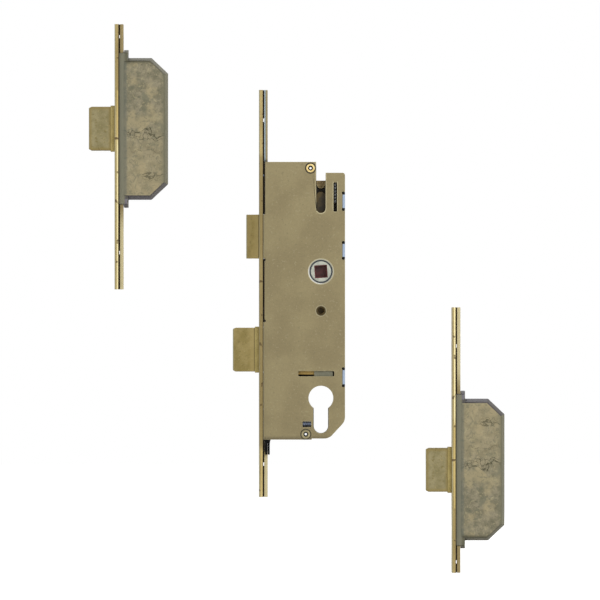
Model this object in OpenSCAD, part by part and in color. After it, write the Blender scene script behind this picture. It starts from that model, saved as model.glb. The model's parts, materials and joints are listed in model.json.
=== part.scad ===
// Multipoint door lock: a lock case with latch and deadbolt, and two bolt boxes
// on short lengths of the same faceplate strip. Millimetres.
// Origin: spindle axis, middle of the case thickness.
// +X runs from the door's edge into the door, +Z up the door, -Y is the side with the case cover.

/* [Layout] */
// Faceplate front to spindle axis
backset = 45; // [44:1:55]
// Spindle axis down to cylinder axis
centres = 92; // [90:1:96]
// Spindle axis to the faceplate front of the upper section, towards -X
upper_section_x = 149.8; // [130:0.1:180]
// Spindle axis up to the upper bolt's centre
upper_section_z = 103.8; // [95:0.1:140]
// Spindle axis to the faceplate front of the lower section, towards +X
lower_section_x = 95; // [80:1:130]
// Spindle axis down to the lower bolt's centre
lower_section_z = 144.1; // [100:0.1:180]

/* [Faceplate strip] */
// Width of the faceplate strip
strip_w = 20; // [20:1:24]
// Thickness of the faceplate strip
strip_t = 3; // [2.5:0.5:4]
// Width of the low rib on the strip's back that the rail runs on
rib_w = 4; // [3:0.5:5]
// Rounding of the strip's front edges
strip_edge_r = 0.8; // [0.4:0.1:1]
// Centre strip, spindle axis to its upper end
centre_strip_up = 131.8; // [125:0.1:150]
// Centre strip, spindle axis to its lower end
centre_strip_down = 163.7; // [160:0.1:180]
// Upper strip, bolt centre to its upper end
upper_strip_up = 75.8; // [74:0.1:90]
// Upper strip, bolt centre to its lower end
upper_strip_down = 116.8; // [114:0.1:130]
// Lower strip, bolt centre to its upper end
lower_strip_up = 118.1; // [96:0.1:130]
// Lower strip, bolt centre to its lower end
lower_strip_down = 74.7; // [74:0.1:90]

/* [Drive rail] */
// Width of the drive rail
rail_w = 13.4; // [13:0.1:13.8]
// Thickness of the drive rail
rail_t = 2.5; // [2:0.1:3]
// Gap between faceplate and drive rail
rail_gap = 0.8; // [0.6:0.1:1.2]
// Travel of the drive rail, and of each locking bolt
travel = 19; // [16:0.5:19]

/* [Lock case] */
// Outside thickness of the lock case
case_t = 17; // [17:0.5:20]
// Sheet thickness of tray and cover
sheet = 1.5; // [1.2:0.1:1.8]
// Gap between the strip's back and what is screwed to it
seat_gap = 0.2; // [0.1:0.05:0.4]
// Spindle axis to the case's back edge
case_back = 17.5; // [17.5:0.1:22]
// Spindle axis up to the case's top edge
case_top = 79.6; // [79:0.1:90]
// Spindle axis up to the top of the lobe behind the handle slot
lobe_top = 71.7; // [68:0.1:74]
// Spindle axis down to the case's bottom edge
case_bottom = 122.1; // [122:0.1:125]
// Step of the bottom edge near the cylinder
bottom_step = 0.8; // [0.4:0.1:1.2]
// Length along X of the lower back chamfer
chamfer_x = 11.6; // [8:0.1:12]
// Length along Z of the lower back chamfer
chamfer_z = 12.6; // [8:0.1:14]
// Rounding at the ends of the lower back chamfer
chamfer_r = 8; // [3:0.5:9]
// Setback of the case's front edge above the latch
front_step_up = 1.3; // [0.6:0.1:1.6]
// Setback of the case's front edge between latch and deadbolt
front_step_mid = 0.8; // [0.4:0.1:1.2]
// Width of the peened tabs on the back edge
tab_w = 1.8; // [1.4:0.1:2.2]
// How far the peened tabs stand above the cover
tab_proud = 0.4; // [0.2:0.1:0.6]
// Radius of the relief notches
relief_r = 1.1; // [0.9:0.1:1.2]

/* [Case openings] */
// Width of the open slot for the handle's bolt
handle_slot_w = 6.8; // [6:0.1:7]
// Spindle axis up to the bottom of that slot in the cover
handle_slot_z = 42.5; // [41.5:0.1:46]
// Spindle axis up to the bottom of that slot in the tray
tray_slot_z = 66.2; // [65:0.1:68]
// Spindle axis down to the handle screw post
handle_hole_z = 28.6; // [28:0.1:30]
// Diameter of the hole over the handle screw post
handle_hole_d = 6.5; // [6:0.1:7]
// Diameter of the cylinder hole
cylinder_d = 18; // [17.4:0.1:18.4]
// Width of the cylinder hole's slot in the cover
cylinder_slot_w = 11.1; // [10.6:0.1:11.4]
// Width of the cylinder hole's slot in the tray
cylinder_slot_tray_w = 10.4; // [10.2:0.1:11]
// Cylinder axis down to the bottom of its slot
cylinder_slot_z = 25.5; // [24.5:0.1:26]
// Cylinder axis down to the cylinder screw
cylinder_screw_drop = 18.75; // [18:0.05:19.5]
// Width of the spring's sight slot
sight_slot_w = 2.6; // [2:0.1:3]
// Spindle axis up to the lower end of that slot
sight_slot_low = 43.5; // [42:0.1:46]
// Spindle axis up to its upper end
sight_slot_top = 64.7; // [60:0.1:66]
// Spindle axis down to the top of the tumbler's sight slot
tumbler_slot_z = 72.3; // [72:0.1:73]
// Spindle axis to that slot's ends, towards -X and +X
tumbler_slot_front = 16.5; // [15:0.1:18]
tumbler_slot_back = 9.6; // [9:0.1:10]
// Height of the tumbler's sight slot
tumbler_slot_h = 3.8; // [3:0.1:4.2]

/* [Follower] */
// Side of the square socket
spindle_square = 8; // [8:0.5:9]
// Angle at which the square stands at rest
square_turn = 4; // [0:1:8]
// Turn of the follower over the rail's travel, degrees
follower_turn = 60; // [55:1:60]
// Wall of the sleeve in the square
sleeve_wall = 0.7; // [0.5:0.1:1]
// Diameter of the follower's round face
follower_face_d = 14.2; // [13.8:0.1:14.6]
// Diameter of the follower's journal
follower_journal_d = 16.4; // [16:0.1:17]
// Diameter of the follower's hub between the plates
follower_hub_d = 20; // [19:0.5:21]
// Thickness of the toothed segment and the rack
teeth_t = 5; // [4:0.5:6]
// Teeth that would fill the whole circle
teeth_full = 18; // [18:1:20]

/* [Latch] */
// Height of the latch
latch_h = 32; // [30:0.1:32.4]
// Spindle axis up to the latch's centre
latch_z = 25.4; // [25.2:0.1:27]
// How far the latch stands out
latch_out = 9.3; // [8:0.1:12]
// Diameter of the latch's tail rod
latch_rod_d = 5; // [4:0.5:5]

/* [Bolts] */
// Thickness of latch and bolts
bolt_t = 10; // [9:0.1:10]
// Height of each bolt
bolt_h = 31.9; // [30:0.1:31.9]
// Spindle axis down to the deadbolt's centre
deadbolt_z = 56.75; // [56:0.05:57.5]
// Length of the deadbolt's block
deadbolt_l = 33.2; // [32:0.1:33.2]
// Length of a box bolt
box_bolt_l = 34; // [33:0.5:34.5]
// Chamfer at the bolts' noses
bolt_chamfer = 2; // [1:0.1:2.5]
// Wall of the collar round each bolt
collar_wall = 0.6; // [0.5:0.05:0.8]
// How far the collar stands out of the faceplate
collar_out = 3; // [2:0.1:3.5]

/* [Bolt boxes] */
// Faceplate front to the box's back
box_depth = 38.6; // [38.4:0.1:42]
// Half height of the box's body
box_half = 51.6; // [51:0.1:56]
// Half height over the box's end tabs
box_tab_half = 57.4; // [57:0.1:60]
// Faceplate front to the back of the end tabs
box_tab_x = 9.9; // [9.6:0.1:11]
// Length along X of the box's back chamfers
box_chamfer_x = 12; // [10:0.1:14]
// Length along Z of the box's back chamfers
box_chamfer_z = 11.3; // [8:0.1:12]
// Wall of the box casting
box_wall = 1.8; // [1.5:0.1:1.9]
// Width of the rounded band along the casting's edges
box_round = 2.6; // [1:0.1:3]
// Draft of the casting's side walls over its thickness
box_draft = 2; // [0.5:0.1:2.1]
// Faceplate front to the inner foot of the casting's long step
box_step_x = 6.8; // [6:0.1:7]
// How far the flange lies under the casting's face
box_step = 0.9; // [0.5:0.1:1.2]
// Top of a tab down to its screw
box_screw_inset = 6.5; // [6:0.1:7]
// Faceplate front to the cross pin of a thrown box bolt
pin_x = 11; // [10.5:0.1:11.5]
// Diameter of the cross pin in each box bolt
bolt_pin_d = 5; // [4:0.5:5]

/* [Screws] */
// Shank diameter of the strip's screws
screw_d = 4; // [3.5:0.1:4.2]
// Head diameter of the strip's screws
screw_head_d = 7.6; // [7:0.1:8]
// Shank diameter of the cylinder screw
cylinder_screw_d = 5; // [4.5:0.5:5]
// Diameter of the door screw holes in the strips
door_hole_d = 4.6; // [4.2:0.1:5]
// Head diameter that the door screw holes are countersunk for
door_head_d = 8.6; // [8:0.1:9]
// Diameter of the rivets
rivet_d = 3; // [2.5:0.1:3.2]

/* [Springs] */
// Wire diameter of the lever spring
lever_wire = 0.8; // [0.6:0.1:0.9]
// Outside diameter of the lever spring
lever_coil_d = 5; // [4.4:0.1:5.2]
// Wire diameter of the latch spring
latch_wire = 0.9; // [0.7:0.1:1]
// Wire diameter of the tumbler spring
tumbler_wire = 0.5; // [0.4:0.05:0.6]

/* [Fits] */
// Clearance each side of a sliding piece
slide_gap = 0.2; // [0.15:0.05:0.3]
// Clearance on the radius of a turning or seated round piece
round_gap = 0.1; // [0.05:0.05:0.2]
// Clearance between a rail or slide and what stands behind it
run_gap = 0.3; // [0.2:0.05:0.5]
// Clearance on the radius of a countersunk head's cone
cone_gap = 0.15; // [0.1:0.05:0.25]

/* [Hidden] */
$fn = 48;
box_screw_z = box_tab_half - box_screw_inset;
eps = 0.01;
half_t = case_t / 2;
inner = half_t - sheet;                 // half the space between the plates
face_x = -backset;                      // centre faceplate front
strip_back = face_x + strip_t;
rail_x = strip_back + rail_gap;         // rail front face
rail_back = rail_x + rail_t;
case_front = strip_back + seat_gap;
block_x = rail_back + run_gap;          // front of what stands behind the rail
bolt_half = bolt_h / 2;
latch_top = latch_z + latch_h / 2;
latch_low = latch_z - latch_h / 2;
dead_top = -deadbolt_z + bolt_half;
dead_low = -deadbolt_z - bolt_half;
cyl_z = -centres;
cyl_screw_z = cyl_z - cylinder_screw_drop;
pitch_r = travel / (follower_turn * PI / 180);
tooth_pitch = 2 * PI * pitch_r / teeth_full;
module_size = tooth_pitch / PI;
rail_slot_w = screw_d + 0.6;            // slot in the rail round a screw
rib_gap = 0.2;                          // between the strip's rib and the rail
screw_sink = 0.1;                       // how far a screw's face lies under the strip's
screw_point = 0.6;                      // chamfer at a screw's end
window_r = 0.4;                         // corners of the bolts' windows in strip and rail
cyl_rail_slot_w = cylinder_screw_d + 0.8;
case_screw_up = case_top - 9.6;
case_screw_low = -case_bottom + 22.1;
centre_door_screws = [110, -140];
box_door_inner = 90;
box_door_outer = box_tab_half + 9.6;

// Node names

// Colours
steel_olive = "#938766";
steel_edge = "#af9e69";
rail_beige = "#a8966a";
zinc_grey = "#8f9396";
brass_tone = "#93834f";
cast_olive = "#979075";
dark_brown = "#4a3c1e";
nylon_red = "#7a1016";
spring_steel = "#77797c";

// Points of a circular arc
function arc(c, r, a0, a1, n = 10) =
  [for (i = [0:n]) let (a = a0 + (a1 - a0) * i / n) c + r * [cos(a), sin(a)]];
function unit(v) = v / norm(v);
// Points that round the corner b between a and c
function fillet(a, b, c, r, n = 8) =
  let (u = unit(a - b), v = unit(c - b), h = acos(u * v) / 2, m = b + unit(u + v) * r / sin(h),
       p = b + u * r / tan(h), q = b + v * r / tan(h),
       a0 = atan2(p.y - m.y, p.x - m.x), d = atan2(q.y - m.y, q.x - m.x) - a0,
       turn = d > 180 ? d - 360 : (d < -180 ? d + 360 : d))
  arc(m, r, a0, a0 + turn, n);

// A flat shape in the X-Z plane, from y0 to y1
module plate_y(y0, y1) {
  translate([0, y1, 0]) rotate([90, 0, 0]) linear_extrude(y1 - y0) children();
}
// A flat shape in the Y-Z plane, from x0 to x1
module plate_x(x0, x1) {
  translate([x0, 0, 0]) rotate([90, 0, 90]) linear_extrude(x1 - x0) children();
}
// Round rods along each axis
module rod_y(x, z, y0, y1, d) {
  translate([x, y1, z]) rotate([90, 0, 0]) cylinder(h = y1 - y0, d = d);
}
module rod_x(x0, x1, z, d) {
  translate([x0, 0, z]) rotate([0, 90, 0]) cylinder(h = x1 - x0, d = d);
}
module block(x0, x1, y0, y1, z0, z1) {
  translate([x0, y0, z0]) cube([x1 - x0, y1 - y0, z1 - z0]);
}
// Upright slot with round ends, drawn flat
module slot2d(w, z0, z1) {
  translate([0, z0 + w / 2]) circle(d = w);
  translate([0, z1 - w / 2]) circle(d = w);
  translate([-w / 2, z0 + w / 2]) square([w, z1 - z0 - w]);
}
// Rectangle with round corners, drawn flat
module rrect2d(x0, x1, z0, z1, r) {
  translate([x0 + r, z0]) square([x1 - x0 - 2 * r, z1 - z0]);
  translate([x0, z0 + r]) square([x1 - x0, z1 - z0 - 2 * r]);
  for (x = [x0 + r, x1 - r], z = [z0 + r, z1 - r]) translate([x, z]) circle(r = r);
}

// Sizes that several pieces share
latch_rod_z = latch_z + 3.6;
latch_back = face_x + 9;
guide_x = -14;
guide_t = 3;
stop_ring_t = 1;
lever_x = 10.4;
lever_y = -4;
plunger_low = 10.5;
plunger_top = 38;
plunger_half_w = 2.5;
plunger_half_t = 2.4;
lever_seat = lobe_top - sheet;
tail_t = 2.5;
tail_y = -4;                            // front face of the deadbolt's tail
tail_end = case_back - sheet - travel - 0.4;
tail_front = -40;
tail_top = -53;
tail_notch = -74.9;
tail_foot = -79.5;
dead_back = face_x - travel + deadbolt_l;
tumbler_t = 2;
tumbler_y = -inner + 0.7;               // front face of the tumbler
tumbler_lift = 3;
tumbler_top = -52;
post_x = 8;
post_z = -62;
post_d = 4;
tumbler_stop_z = -40.8;
tab_spans = [[46, 56], [10.5, 20.1], [-82, -71.5]];
relief_deep = 3;                        // how far the tabs' reliefs cut into the tray's wall
relief_x = case_back - 1.3;             // centre of the reliefs
relief_mouth = 1.4;                     // twice how far a relief opens beyond its centre
tray_pad_t = 1.6;                       // raised pad at the foot of the tray's slot
tray_pad_low = 60.4;
window_x = [-13.4, -7.1];               // sight window over the cylinder screw
window_below = 2.25;
window_above = 1.85;
lever_pin_l = 20;
upright_top = 58;                       // round top of the plunger guide's upright
guide_low = 24;
guide_top = 40;
upright_low = guide_top - 5.5;
tumbler_half = 11.5;
tumbler_shoulder = 70;
tumbler_foot = 80.5;
tumbler_foot_x = [-4.9, 8.6];
carrier_rivet_z = [19.5, 24.5];
carrier_top = carrier_rivet_z[1] + 2.5;
carrier_web = carrier_rivet_z[0] - 2.5;
rivet_upper = [-7.55, case_top - 4.5];
rivet_lower = [-11, -case_bottom + 3.9];
rivet_hole_d = 4.9;
rivet_head_d = 6.3;
rivet_seat_d = 7.9;                     // sunk seat round the rivet's head
rivet_bore_d = 1.8;
rivet_mouth_d = 3.6;                    // funnel at the rivet's front
rivet_mouth_deep = 2.2;
fixing_l = 8.4;
fixing_half = 5.5;
guide_h = 10.9;
guide_fall = 4.6;
guide_wall = 1.4;
slide_foot = [-29, -12];
slide_foot_half = 5;
cover_screw_d = 2.5;
cover_head_d = 5;
cover_head_h = 1.4;

// Countersunk hole through a strip whose front face is at x
module csk_hole(x, z, d, head) {
  translate([x - eps, 0, z]) rotate([0, 90, 0])
    cylinder(h = (head - d) / 2 + eps, d1 = head, d2 = d);
  rod_x(x - eps, x + strip_t + rail_gap, z, d);
}
// Countersunk screw along X, with a cross recess
module csk_screw(x, tip, z, d, head) {
  l = tip - x;
  difference() {
    translate([x, 0, z]) rotate([0, 90, 0]) rotate_extrude()
      polygon([[0, screw_sink], [head / 2 - 0.1 - cone_gap, screw_sink],
        [d / 2, (head - d) / 2 - cone_gap], [d / 2, l - screw_point],
        [d / 2 - screw_point, l], [0, l]]);
    for (a = [0, 90]) translate([x, 0, z]) rotate([a, 0, 0])
      block(-1, 1.3, -d / 2, d / 2, -0.4, 0.4);
  }
}
// One unbroken wire wound round +Z from z = 0 to z = h, its ends straight for one wire diameter
function wire_path(h, r, w, curls) =
  let (n = curls * 8, rise = (h - 2 * w) / n)
  concat([[r, 0, 0]], [for (i = [0:n]) [r * cos(i * 45), r * sin(i * 45), w + rise * i]],
    [[r * cos(n * 45), r * sin(n * 45), h]]);
module wire_spring(h, outer_d, w, curls) {
  r = (outer_d - w) / 2;
  path = wire_path(h, r, w, curls);
  last = len(path) - 1;
  side = 6;
  rings = [for (i = [0:last])
    let (a = 45 * max(0, min(last - 2, i - 1)), out = [cos(a), sin(a), 0],
         along = (i == 0 || i == last) ? [0, 0, 1] : unit(path[i + 1] - path[i - 1]),
         across = unit(cross(along, out)), rim = cross(across, along))
    for (k = [0:side - 1]) path[i] + w / 2 * (cos(k * 60) * rim + sin(k * 60) * across)];
  walls = [for (i = [0:last - 1], k = [0:side - 1], t = [0, 1])
    let (p = i * side + k, q = i * side + (k + 1) % side)
    t == 0 ? [p, p + side, q + side] : [p, q + side, q]];
  caps = [for (k = [1:side - 2], t = [0, 1])
    t == 0 ? [0, k, k + 1] : [last * side, last * side + k + 1, last * side + k]];
  polyhedron(rings, concat(walls, caps));
  gap = min([for (i = [0:last], j = [i + 5:1:last]) norm(path[i] - path[j])]) - w;
  echo(str("least gap of the wire to itself, mm: ", gap));
}

// Openings of one faceplate: door screw holes, then the strip's own screws
module strip_holes(x, door_holes, screws) {
  for (z = door_holes) csk_hole(x, z, door_hole_d, door_head_d);
  for (z = screws) csk_hole(x, z, screw_d + 2 * round_gap, screw_head_d);
}
// Length of faceplate strip, its two front edges rounded and a guide rib along its back
module strip(x, down, up) {
  r = strip_edge_r;
  half = strip_w / 2;
  translate([x, 0, -down]) linear_extrude(up + down) {
    translate([r, -half]) square([strip_t - r, strip_w]);
    translate([0, -half + r]) square([strip_t, strip_w - 2 * r]);
    for (y = [-half + r, half - r]) translate([r, y]) circle(r = r);
    translate([strip_t - eps, -rib_w / 2]) square([rail_gap - rib_gap + eps, rib_w]);
  }
}
// Hole in a faceplate for a bolt's collar
module collar_hole(z) {
  r = 1;
  w = bolt_t / 2 + slide_gap + collar_wall;
  h = bolt_half + slide_gap + collar_wall;
  plate_x(-eps, strip_t + rail_gap) translate([0, z]) rrect2d(-w, w, -h, h, r);
}
// Collar pressed into a faceplate, its front edge standing out
module collar(z) {
  w = bolt_t / 2 + slide_gap;
  h = bolt_half + slide_gap;
  plate_x(-collar_out, strip_t) translate([0, z]) difference() {
    rrect2d(-w - collar_wall, w + collar_wall, -h - collar_wall, h + collar_wall, 1);
    rrect2d(-w, w, -h, h, window_r);
  }
}
// Window in a rail for a bolt that stays put while the rail rises
module rail_window(z0, z1) {
  w = bolt_t / 2 + slide_gap;
  rrect2d(-w, w, z0 - travel - run_gap, z1 + run_gap, window_r);
}
module rail_slot(z, w) { slot2d(w, z - travel - w / 2 - 0.1, z + w / 2 + 0.1); }

// Centre faceplate with its latch and deadbolt holes
module centre_faceplate() {
  color(steel_edge) difference() {
    strip(face_x, centre_strip_down, centre_strip_up);
    strip_holes(face_x, centre_door_screws, [case_screw_up, case_screw_low]);
    csk_hole(face_x, cyl_screw_z, cylinder_screw_d + 2 * round_gap, cylinder_screw_d + 4);
    plate_x(face_x - eps, strip_back + rail_gap)
      rrect2d(-bolt_t / 2 - slide_gap, bolt_t / 2 + slide_gap,
        latch_low - slide_gap, latch_top + slide_gap, window_r);
    translate([face_x, 0, 0]) collar_hole(-deadbolt_z);
  }
}
// Centre drive rail, windowed for latch, deadbolt and screws
module centre_rail() {
  color(rail_beige) plate_x(rail_x, rail_back) difference() {
    translate([-rail_w / 2, -centre_strip_down])
      square([rail_w, centre_strip_up + centre_strip_down]);
    rail_window(latch_low, latch_top);
    rail_window(dead_low, dead_top);
    for (z = concat(centre_door_screws, case_screw_up)) rail_slot(z, rail_slot_w);
    slot2d(cyl_rail_slot_w, cyl_screw_z - travel - cyl_rail_slot_w / 2 - 0.1,
      case_screw_low + cyl_rail_slot_w / 2 + 0.1);
    for (z = drive_rivet_z) translate([0, z]) circle(d = rivet_d + 0.1);
  }
}

// Side view of the lock case, drawn e inside its outer edge
function case_points(e) =
  let (back = case_back - e, low = -case_bottom + e, low_back = -case_bottom + bottom_step + e,
       top = case_top - e, lobe = lobe_top - e, slope = atan2(chamfer_z, chamfer_x), step_x = -6.7,
       p = [case_back - chamfer_x - e * tan(slope / 2), low_back],
       q = [back, -case_bottom + bottom_step + chamfer_z + e * tan(45 - slope / 2)])
  concat([[case_front, low], [step_x, low], [step_x, low_back]],
    fillet([step_x, low_back], p, q, chamfer_r - e), fillet(p, q, [back, lobe], chamfer_r - e),
    fillet(q, [back, lobe], [0, lobe], 1.8 - min(e, 1.4), 4),
    [[0, lobe], [0, top], [case_front, top]]);
mid_low = dead_top + 4;
front_notch_r = 1;
module case_outline() {
  difference() {
    polygon(case_points(0));
    translate([case_front - 1, latch_top]) square([1 + front_step_up, case_top]);
    translate([case_front - 1, mid_low]) square([1 + front_step_mid, latch_low - mid_low]);
    for (z = [latch_low - front_notch_r, mid_low + front_notch_r])
      translate([case_front + front_step_mid, z]) circle(r = front_notch_r);
  }
}
// Cylinder hole, with a slot w wide below the circle
module cylinder_outline(w) {
  translate([0, cyl_z]) circle(d = cylinder_d);
  translate([0, cyl_z - cylinder_slot_z + w / 2]) circle(d = w);
  translate([-w / 2, cyl_z - cylinder_slot_z + w / 2]) square([w, cylinder_slot_z - w / 2]);
}
// Tray: rear plate, side walls and the tabs that are peened over the cover
module case_tray() {
  color(steel_olive) {
    difference() {
      union() {
        plate_y(inner, half_t) difference() {
          case_outline();
          circle(d = follower_journal_d + 2 * slide_gap);
          cylinder_outline(cylinder_slot_tray_w);
          for (p = [rivet_upper, rivet_lower]) translate(p) circle(d = rivet_hole_d);
        }
        plate_y(-inner, inner + eps) difference() {
          polygon(case_points(0));
          polygon(case_points(sheet));
          translate([case_front - 1, -case_bottom - 1])
            square([block_x - case_front + 1, case_top + case_bottom + 2]);
        }
        for (s = tab_spans)
          block(case_back - tab_w, case_back, -half_t - tab_proud, -inner + eps, s[0], s[1]);
        plate_y(inner - tray_pad_t, inner + eps)
          slot2d(handle_slot_w - 2 * slide_gap, tray_pad_low, case_top);
      }
      block(-handle_slot_w / 2, handle_slot_w / 2, -inner - eps, half_t + eps, tray_slot_z, case_top + 1);
      for (s = tab_spans, z = [s[0] - relief_r + 0.1, s[1] + relief_r - 0.1])
        block(case_back - 2 * relief_r, case_back + 1, -half_t - 1, relief_deep - inner,
          z - relief_r, z + relief_r);
    }
  }
}
// Cover: the flat olive side that faces the viewer
module case_cover() {
  color(steel_olive) difference() {
    plate_y(-half_t, -inner) difference() {
      case_outline();
      slot2d(handle_slot_w, handle_slot_z, case_top + handle_slot_w);
      rrect2d(lever_x - sight_slot_w / 2, lever_x + sight_slot_w / 2,
        sight_slot_low, sight_slot_top, 0.4);
      circle(d = follower_journal_d + 2 * slide_gap);
      translate([0, -handle_hole_z]) circle(d = handle_hole_d);
      rrect2d(-tumbler_slot_front, tumbler_slot_back,
        -tumbler_slot_z - tumbler_slot_h, -tumbler_slot_z, 0.6);
      cylinder_outline(cylinder_slot_w);
      rrect2d(window_x[0], window_x[1],
        cyl_screw_z - window_below, cyl_screw_z + window_above, 0.6);
      for (p = [rivet_upper, rivet_lower]) translate(p) circle(d = rivet_hole_d);
      for (s = tab_spans) {
        translate([case_back - tab_w - 0.1, s[0] - 0.1]) square([tab_w + 1, s[1] - s[0] + 0.2]);
        for (end = [0, 1]) translate([relief_x, s[end] + (2 * end - 1) * (relief_r - 0.1)]) {
          circle(r = relief_r);
          translate([0, end == 1 ? -relief_r : -relief_mouth / 2])
            square([relief_r + 1, relief_r + relief_mouth / 2]);
        }
      }
    }
    cone_in(0, 0, 0.8, follower_journal_d + 2.8, follower_journal_d + 2 * slide_gap);
    cone_in(0, -handle_hole_z, 0.6, handle_hole_d + 2, handle_hole_d);
    for (p = [rivet_upper, rivet_lower]) rod_y(p.x, p.y, -half_t - 1, -half_t + 0.5, rivet_seat_d);
  }
}
// Dished rim sunk into the cover
module cone_in(x, z, depth, d1, d2) {
  translate([x, -half_t - eps, z]) rotate([-90, 0, 0])
    cylinder(h = depth + eps, d1 = d1, d2 = d2);
}
// Hollow rivet that holds cover and tray together
module case_rivet(p) {
  front = -half_t - 0.1;
  difference() {
    union() {
      rod_y(p.x, p.y, front, half_t + 0.5, rivet_hole_d - 0.1);
      rod_y(p.x, p.y, front, -half_t + 0.5, rivet_head_d);
      rod_y(p.x, p.y, half_t, half_t + 0.5, rivet_head_d);
    }
    rod_y(p.x, p.y, front - 1, half_t + 1, rivet_bore_d);
    translate([p.x, front - eps, p.y]) rotate([-90, 0, 0])
      cylinder(h = rivet_mouth_deep, d1 = rivet_mouth_d, d2 = rivet_bore_d);
  }
}
module case_rivet_upper() { color(brass_tone) case_rivet(rivet_upper); }
module case_rivet_lower() { color(steel_olive) case_rivet(rivet_lower); }
// Black guide under the case: a foot behind the rail and a cheek over its edge
module rail_guide() {
  color("#16150f") {
    plate_y(-rail_w / 2 - slide_gap - eps, bolt_t / 2) guide_side(block_x - 0.2);
    plate_y(-half_t + 0.1, -rail_w / 2 - slide_gap) guide_side(rail_x + 0.8);
  }
}
module guide_side(x) {
  top = -case_bottom;
  heel = block_x - 0.2 + 2.4;
  foot = x + guide_wall;
  curve = [for (i = [1:6])
    [foot + (heel - foot) * (1 - sin(i * 15)), top - guide_fall * (1 - cos(i * 15))]];
  polygon(concat([[x, top - guide_h], [x, top], [heel, top]], curve, [[foot, top - guide_h]]));
}
// Two blocks behind the rail that the case screws bite into
module fixing_blocks() {
  color(zinc_grey) for (z = [case_screw_up, case_screw_low]) difference() {
    block(block_x, block_x + fixing_l, -inner, inner, z - fixing_half, z + fixing_half);
    rod_x(block_x - 1, block_x + fixing_l + 1, z, screw_d + 0.1);
  }
}
module case_screws() {
  color(zinc_grey) for (z = [case_screw_up, case_screw_low])
    csk_screw(face_x, block_x + fixing_l - 0.9, z, screw_d, screw_head_d);
}
// Long screw that will hold the cylinder
module cylinder_screw() {
  color("#a9b0c4")
    csk_screw(face_x, -cylinder_slot_w / 2 - 0.75, cyl_screw_z, cylinder_screw_d, cylinder_screw_d + 4);
}
// Threaded post behind the handle screw hole
module handle_post() {
  color("#382c07") difference() {
    rod_y(0, -handle_hole_z, -inner + 1.5, inner, handle_hole_d + 1.9);
    rod_y(0, -handle_hole_z, -inner + 1, 2, 4.2);
  }
}

// Flank of a tooth: half its angle at radius r, involute to the pitch circle
function involute(a) = tan(a) * 180 / PI - a;
base_r = pitch_r * cos(20);
backlash = 0.3;
function half_tooth(r) =
  90 / teeth_full - backlash / 4 / pitch_r * 180 / PI + involute(20) - involute(acos(min(1, base_r / r)));
module segment_tooth(a) {
  tip = pitch_r + module_size;
  root = pitch_r - 1.25 * module_size;
  radii = [for (i = [0:4]) base_r + (tip - base_r) * i / 4];
  up = [for (r = radii) let (b = a + half_tooth(r)) r * [cos(b), sin(b)]];
  down = [for (i = [4:-1:0]) let (r = radii[i], b = a - half_tooth(r)) r * [cos(b), sin(b)]];
  foot = [for (s = [-1, 1]) let (b = a + s * half_tooth(base_r)) (root - 0.5) * [cos(b), sin(b)]];
  polygon(concat(foot, up, down));
}
segment_angles = [for (k = [-1:4]) 180 + k * 360 / teeth_full];
arm_r = case_back - sheet - 0.5;
// Follower: hub, two journals, toothed segment and the lever spring's arm
module follower() {
  root = pitch_r - 1.25 * module_size;
  color("#8d8f8c") difference() {
    union() {
      rod_y(0, 0, -inner + 0.2, inner - 0.2, follower_hub_d);
      rod_y(0, 0, -half_t + 1.1, half_t - 1.1, follower_journal_d);
      rod_y(0, 0, -half_t - 0.2, half_t + 0.2, follower_face_d);
      plate_y(-teeth_t / 2, teeth_t / 2) {
        intersection() {
          circle(r = root);
          polygon(concat([[0, 0]],
            arc([0, 0], 2 * root, segment_angles[0] - 8, segment_angles[5] + 8, 12)));
        }
        for (a = segment_angles) segment_tooth(a);
      }
      plate_y(lever_y - plunger_half_t, lever_y + plunger_half_t) intersection() {
        circle(r = arm_r);
        polygon([[0, 0], [lever_x - 3, plunger_low - 0.3], [lever_x + 1.2, plunger_low - 0.3],
          [arm_r - 1, 4], [8, -3]]);
      }
    }
    rotate([0, -square_turn, 0])
      block(-socket_half, socket_half, -half_t - 1, half_t + 1, -socket_half, socket_half);
  }
}
socket_half = spindle_square / 2 + sleeve_wall;
// Red nylon sleeve in the follower's square, parted by a thin web
module follower_sleeve() {
  fit = socket_half - 0.05;
  hole = spindle_square / 2;
  color(nylon_red) rotate([0, -square_turn, 0]) difference() {
    block(-fit, fit, -half_t - 0.2, half_t + 0.2, -fit, fit);
    for (s = [-1, 1]) translate([0, s * (half_t / 2 + 1.5), 0])
      block(-hole, hole, -half_t / 2 - 0.75, half_t / 2 + 0.75, -hole, hole);
  }
}
drive_rivet_z = [-25, -16];
rack_top = tooth_pitch / 2 + 1.6;
rack_low = -travel - tooth_pitch / 2 - 3.6;
// Slide behind the rail, toothed towards the follower
module drive_slide() {
  root = -pitch_r - 1.25 * module_size;
  tip = -pitch_r + module_size;
  thick = tooth_pitch / 4 - backlash / 4;
  wide = thick + tan(20) * 1.25 * module_size;
  narrow = thick - tan(20) * module_size;
  color(zinc_grey) difference() {
    union() {
      block(rail_back, root - 3.5, -slide_foot_half, slide_foot_half, slide_foot[0], slide_foot[1]);
      plate_y(-teeth_t / 2, teeth_t / 2) {
        translate([root - 4, rack_low]) square([4, rack_top - rack_low]);
        for (k = [0:4]) translate([0, tooth_pitch * (0.5 - k)])
          polygon([[root - 0.5, -wide], [root, -wide], [tip, -narrow],
            [tip, narrow], [root, wide], [root - 0.5, wide]]);
      }
    }
    for (z = drive_rivet_z) rod_x(rail_back - 1, rail_back + 8, z, rivet_d + 0.1);
  }
}
module drive_slide_rivets() {
  color(zinc_grey) for (z = drive_rivet_z) rod_x(rail_x, rail_back + 7.5, z, rivet_d);
}

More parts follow.
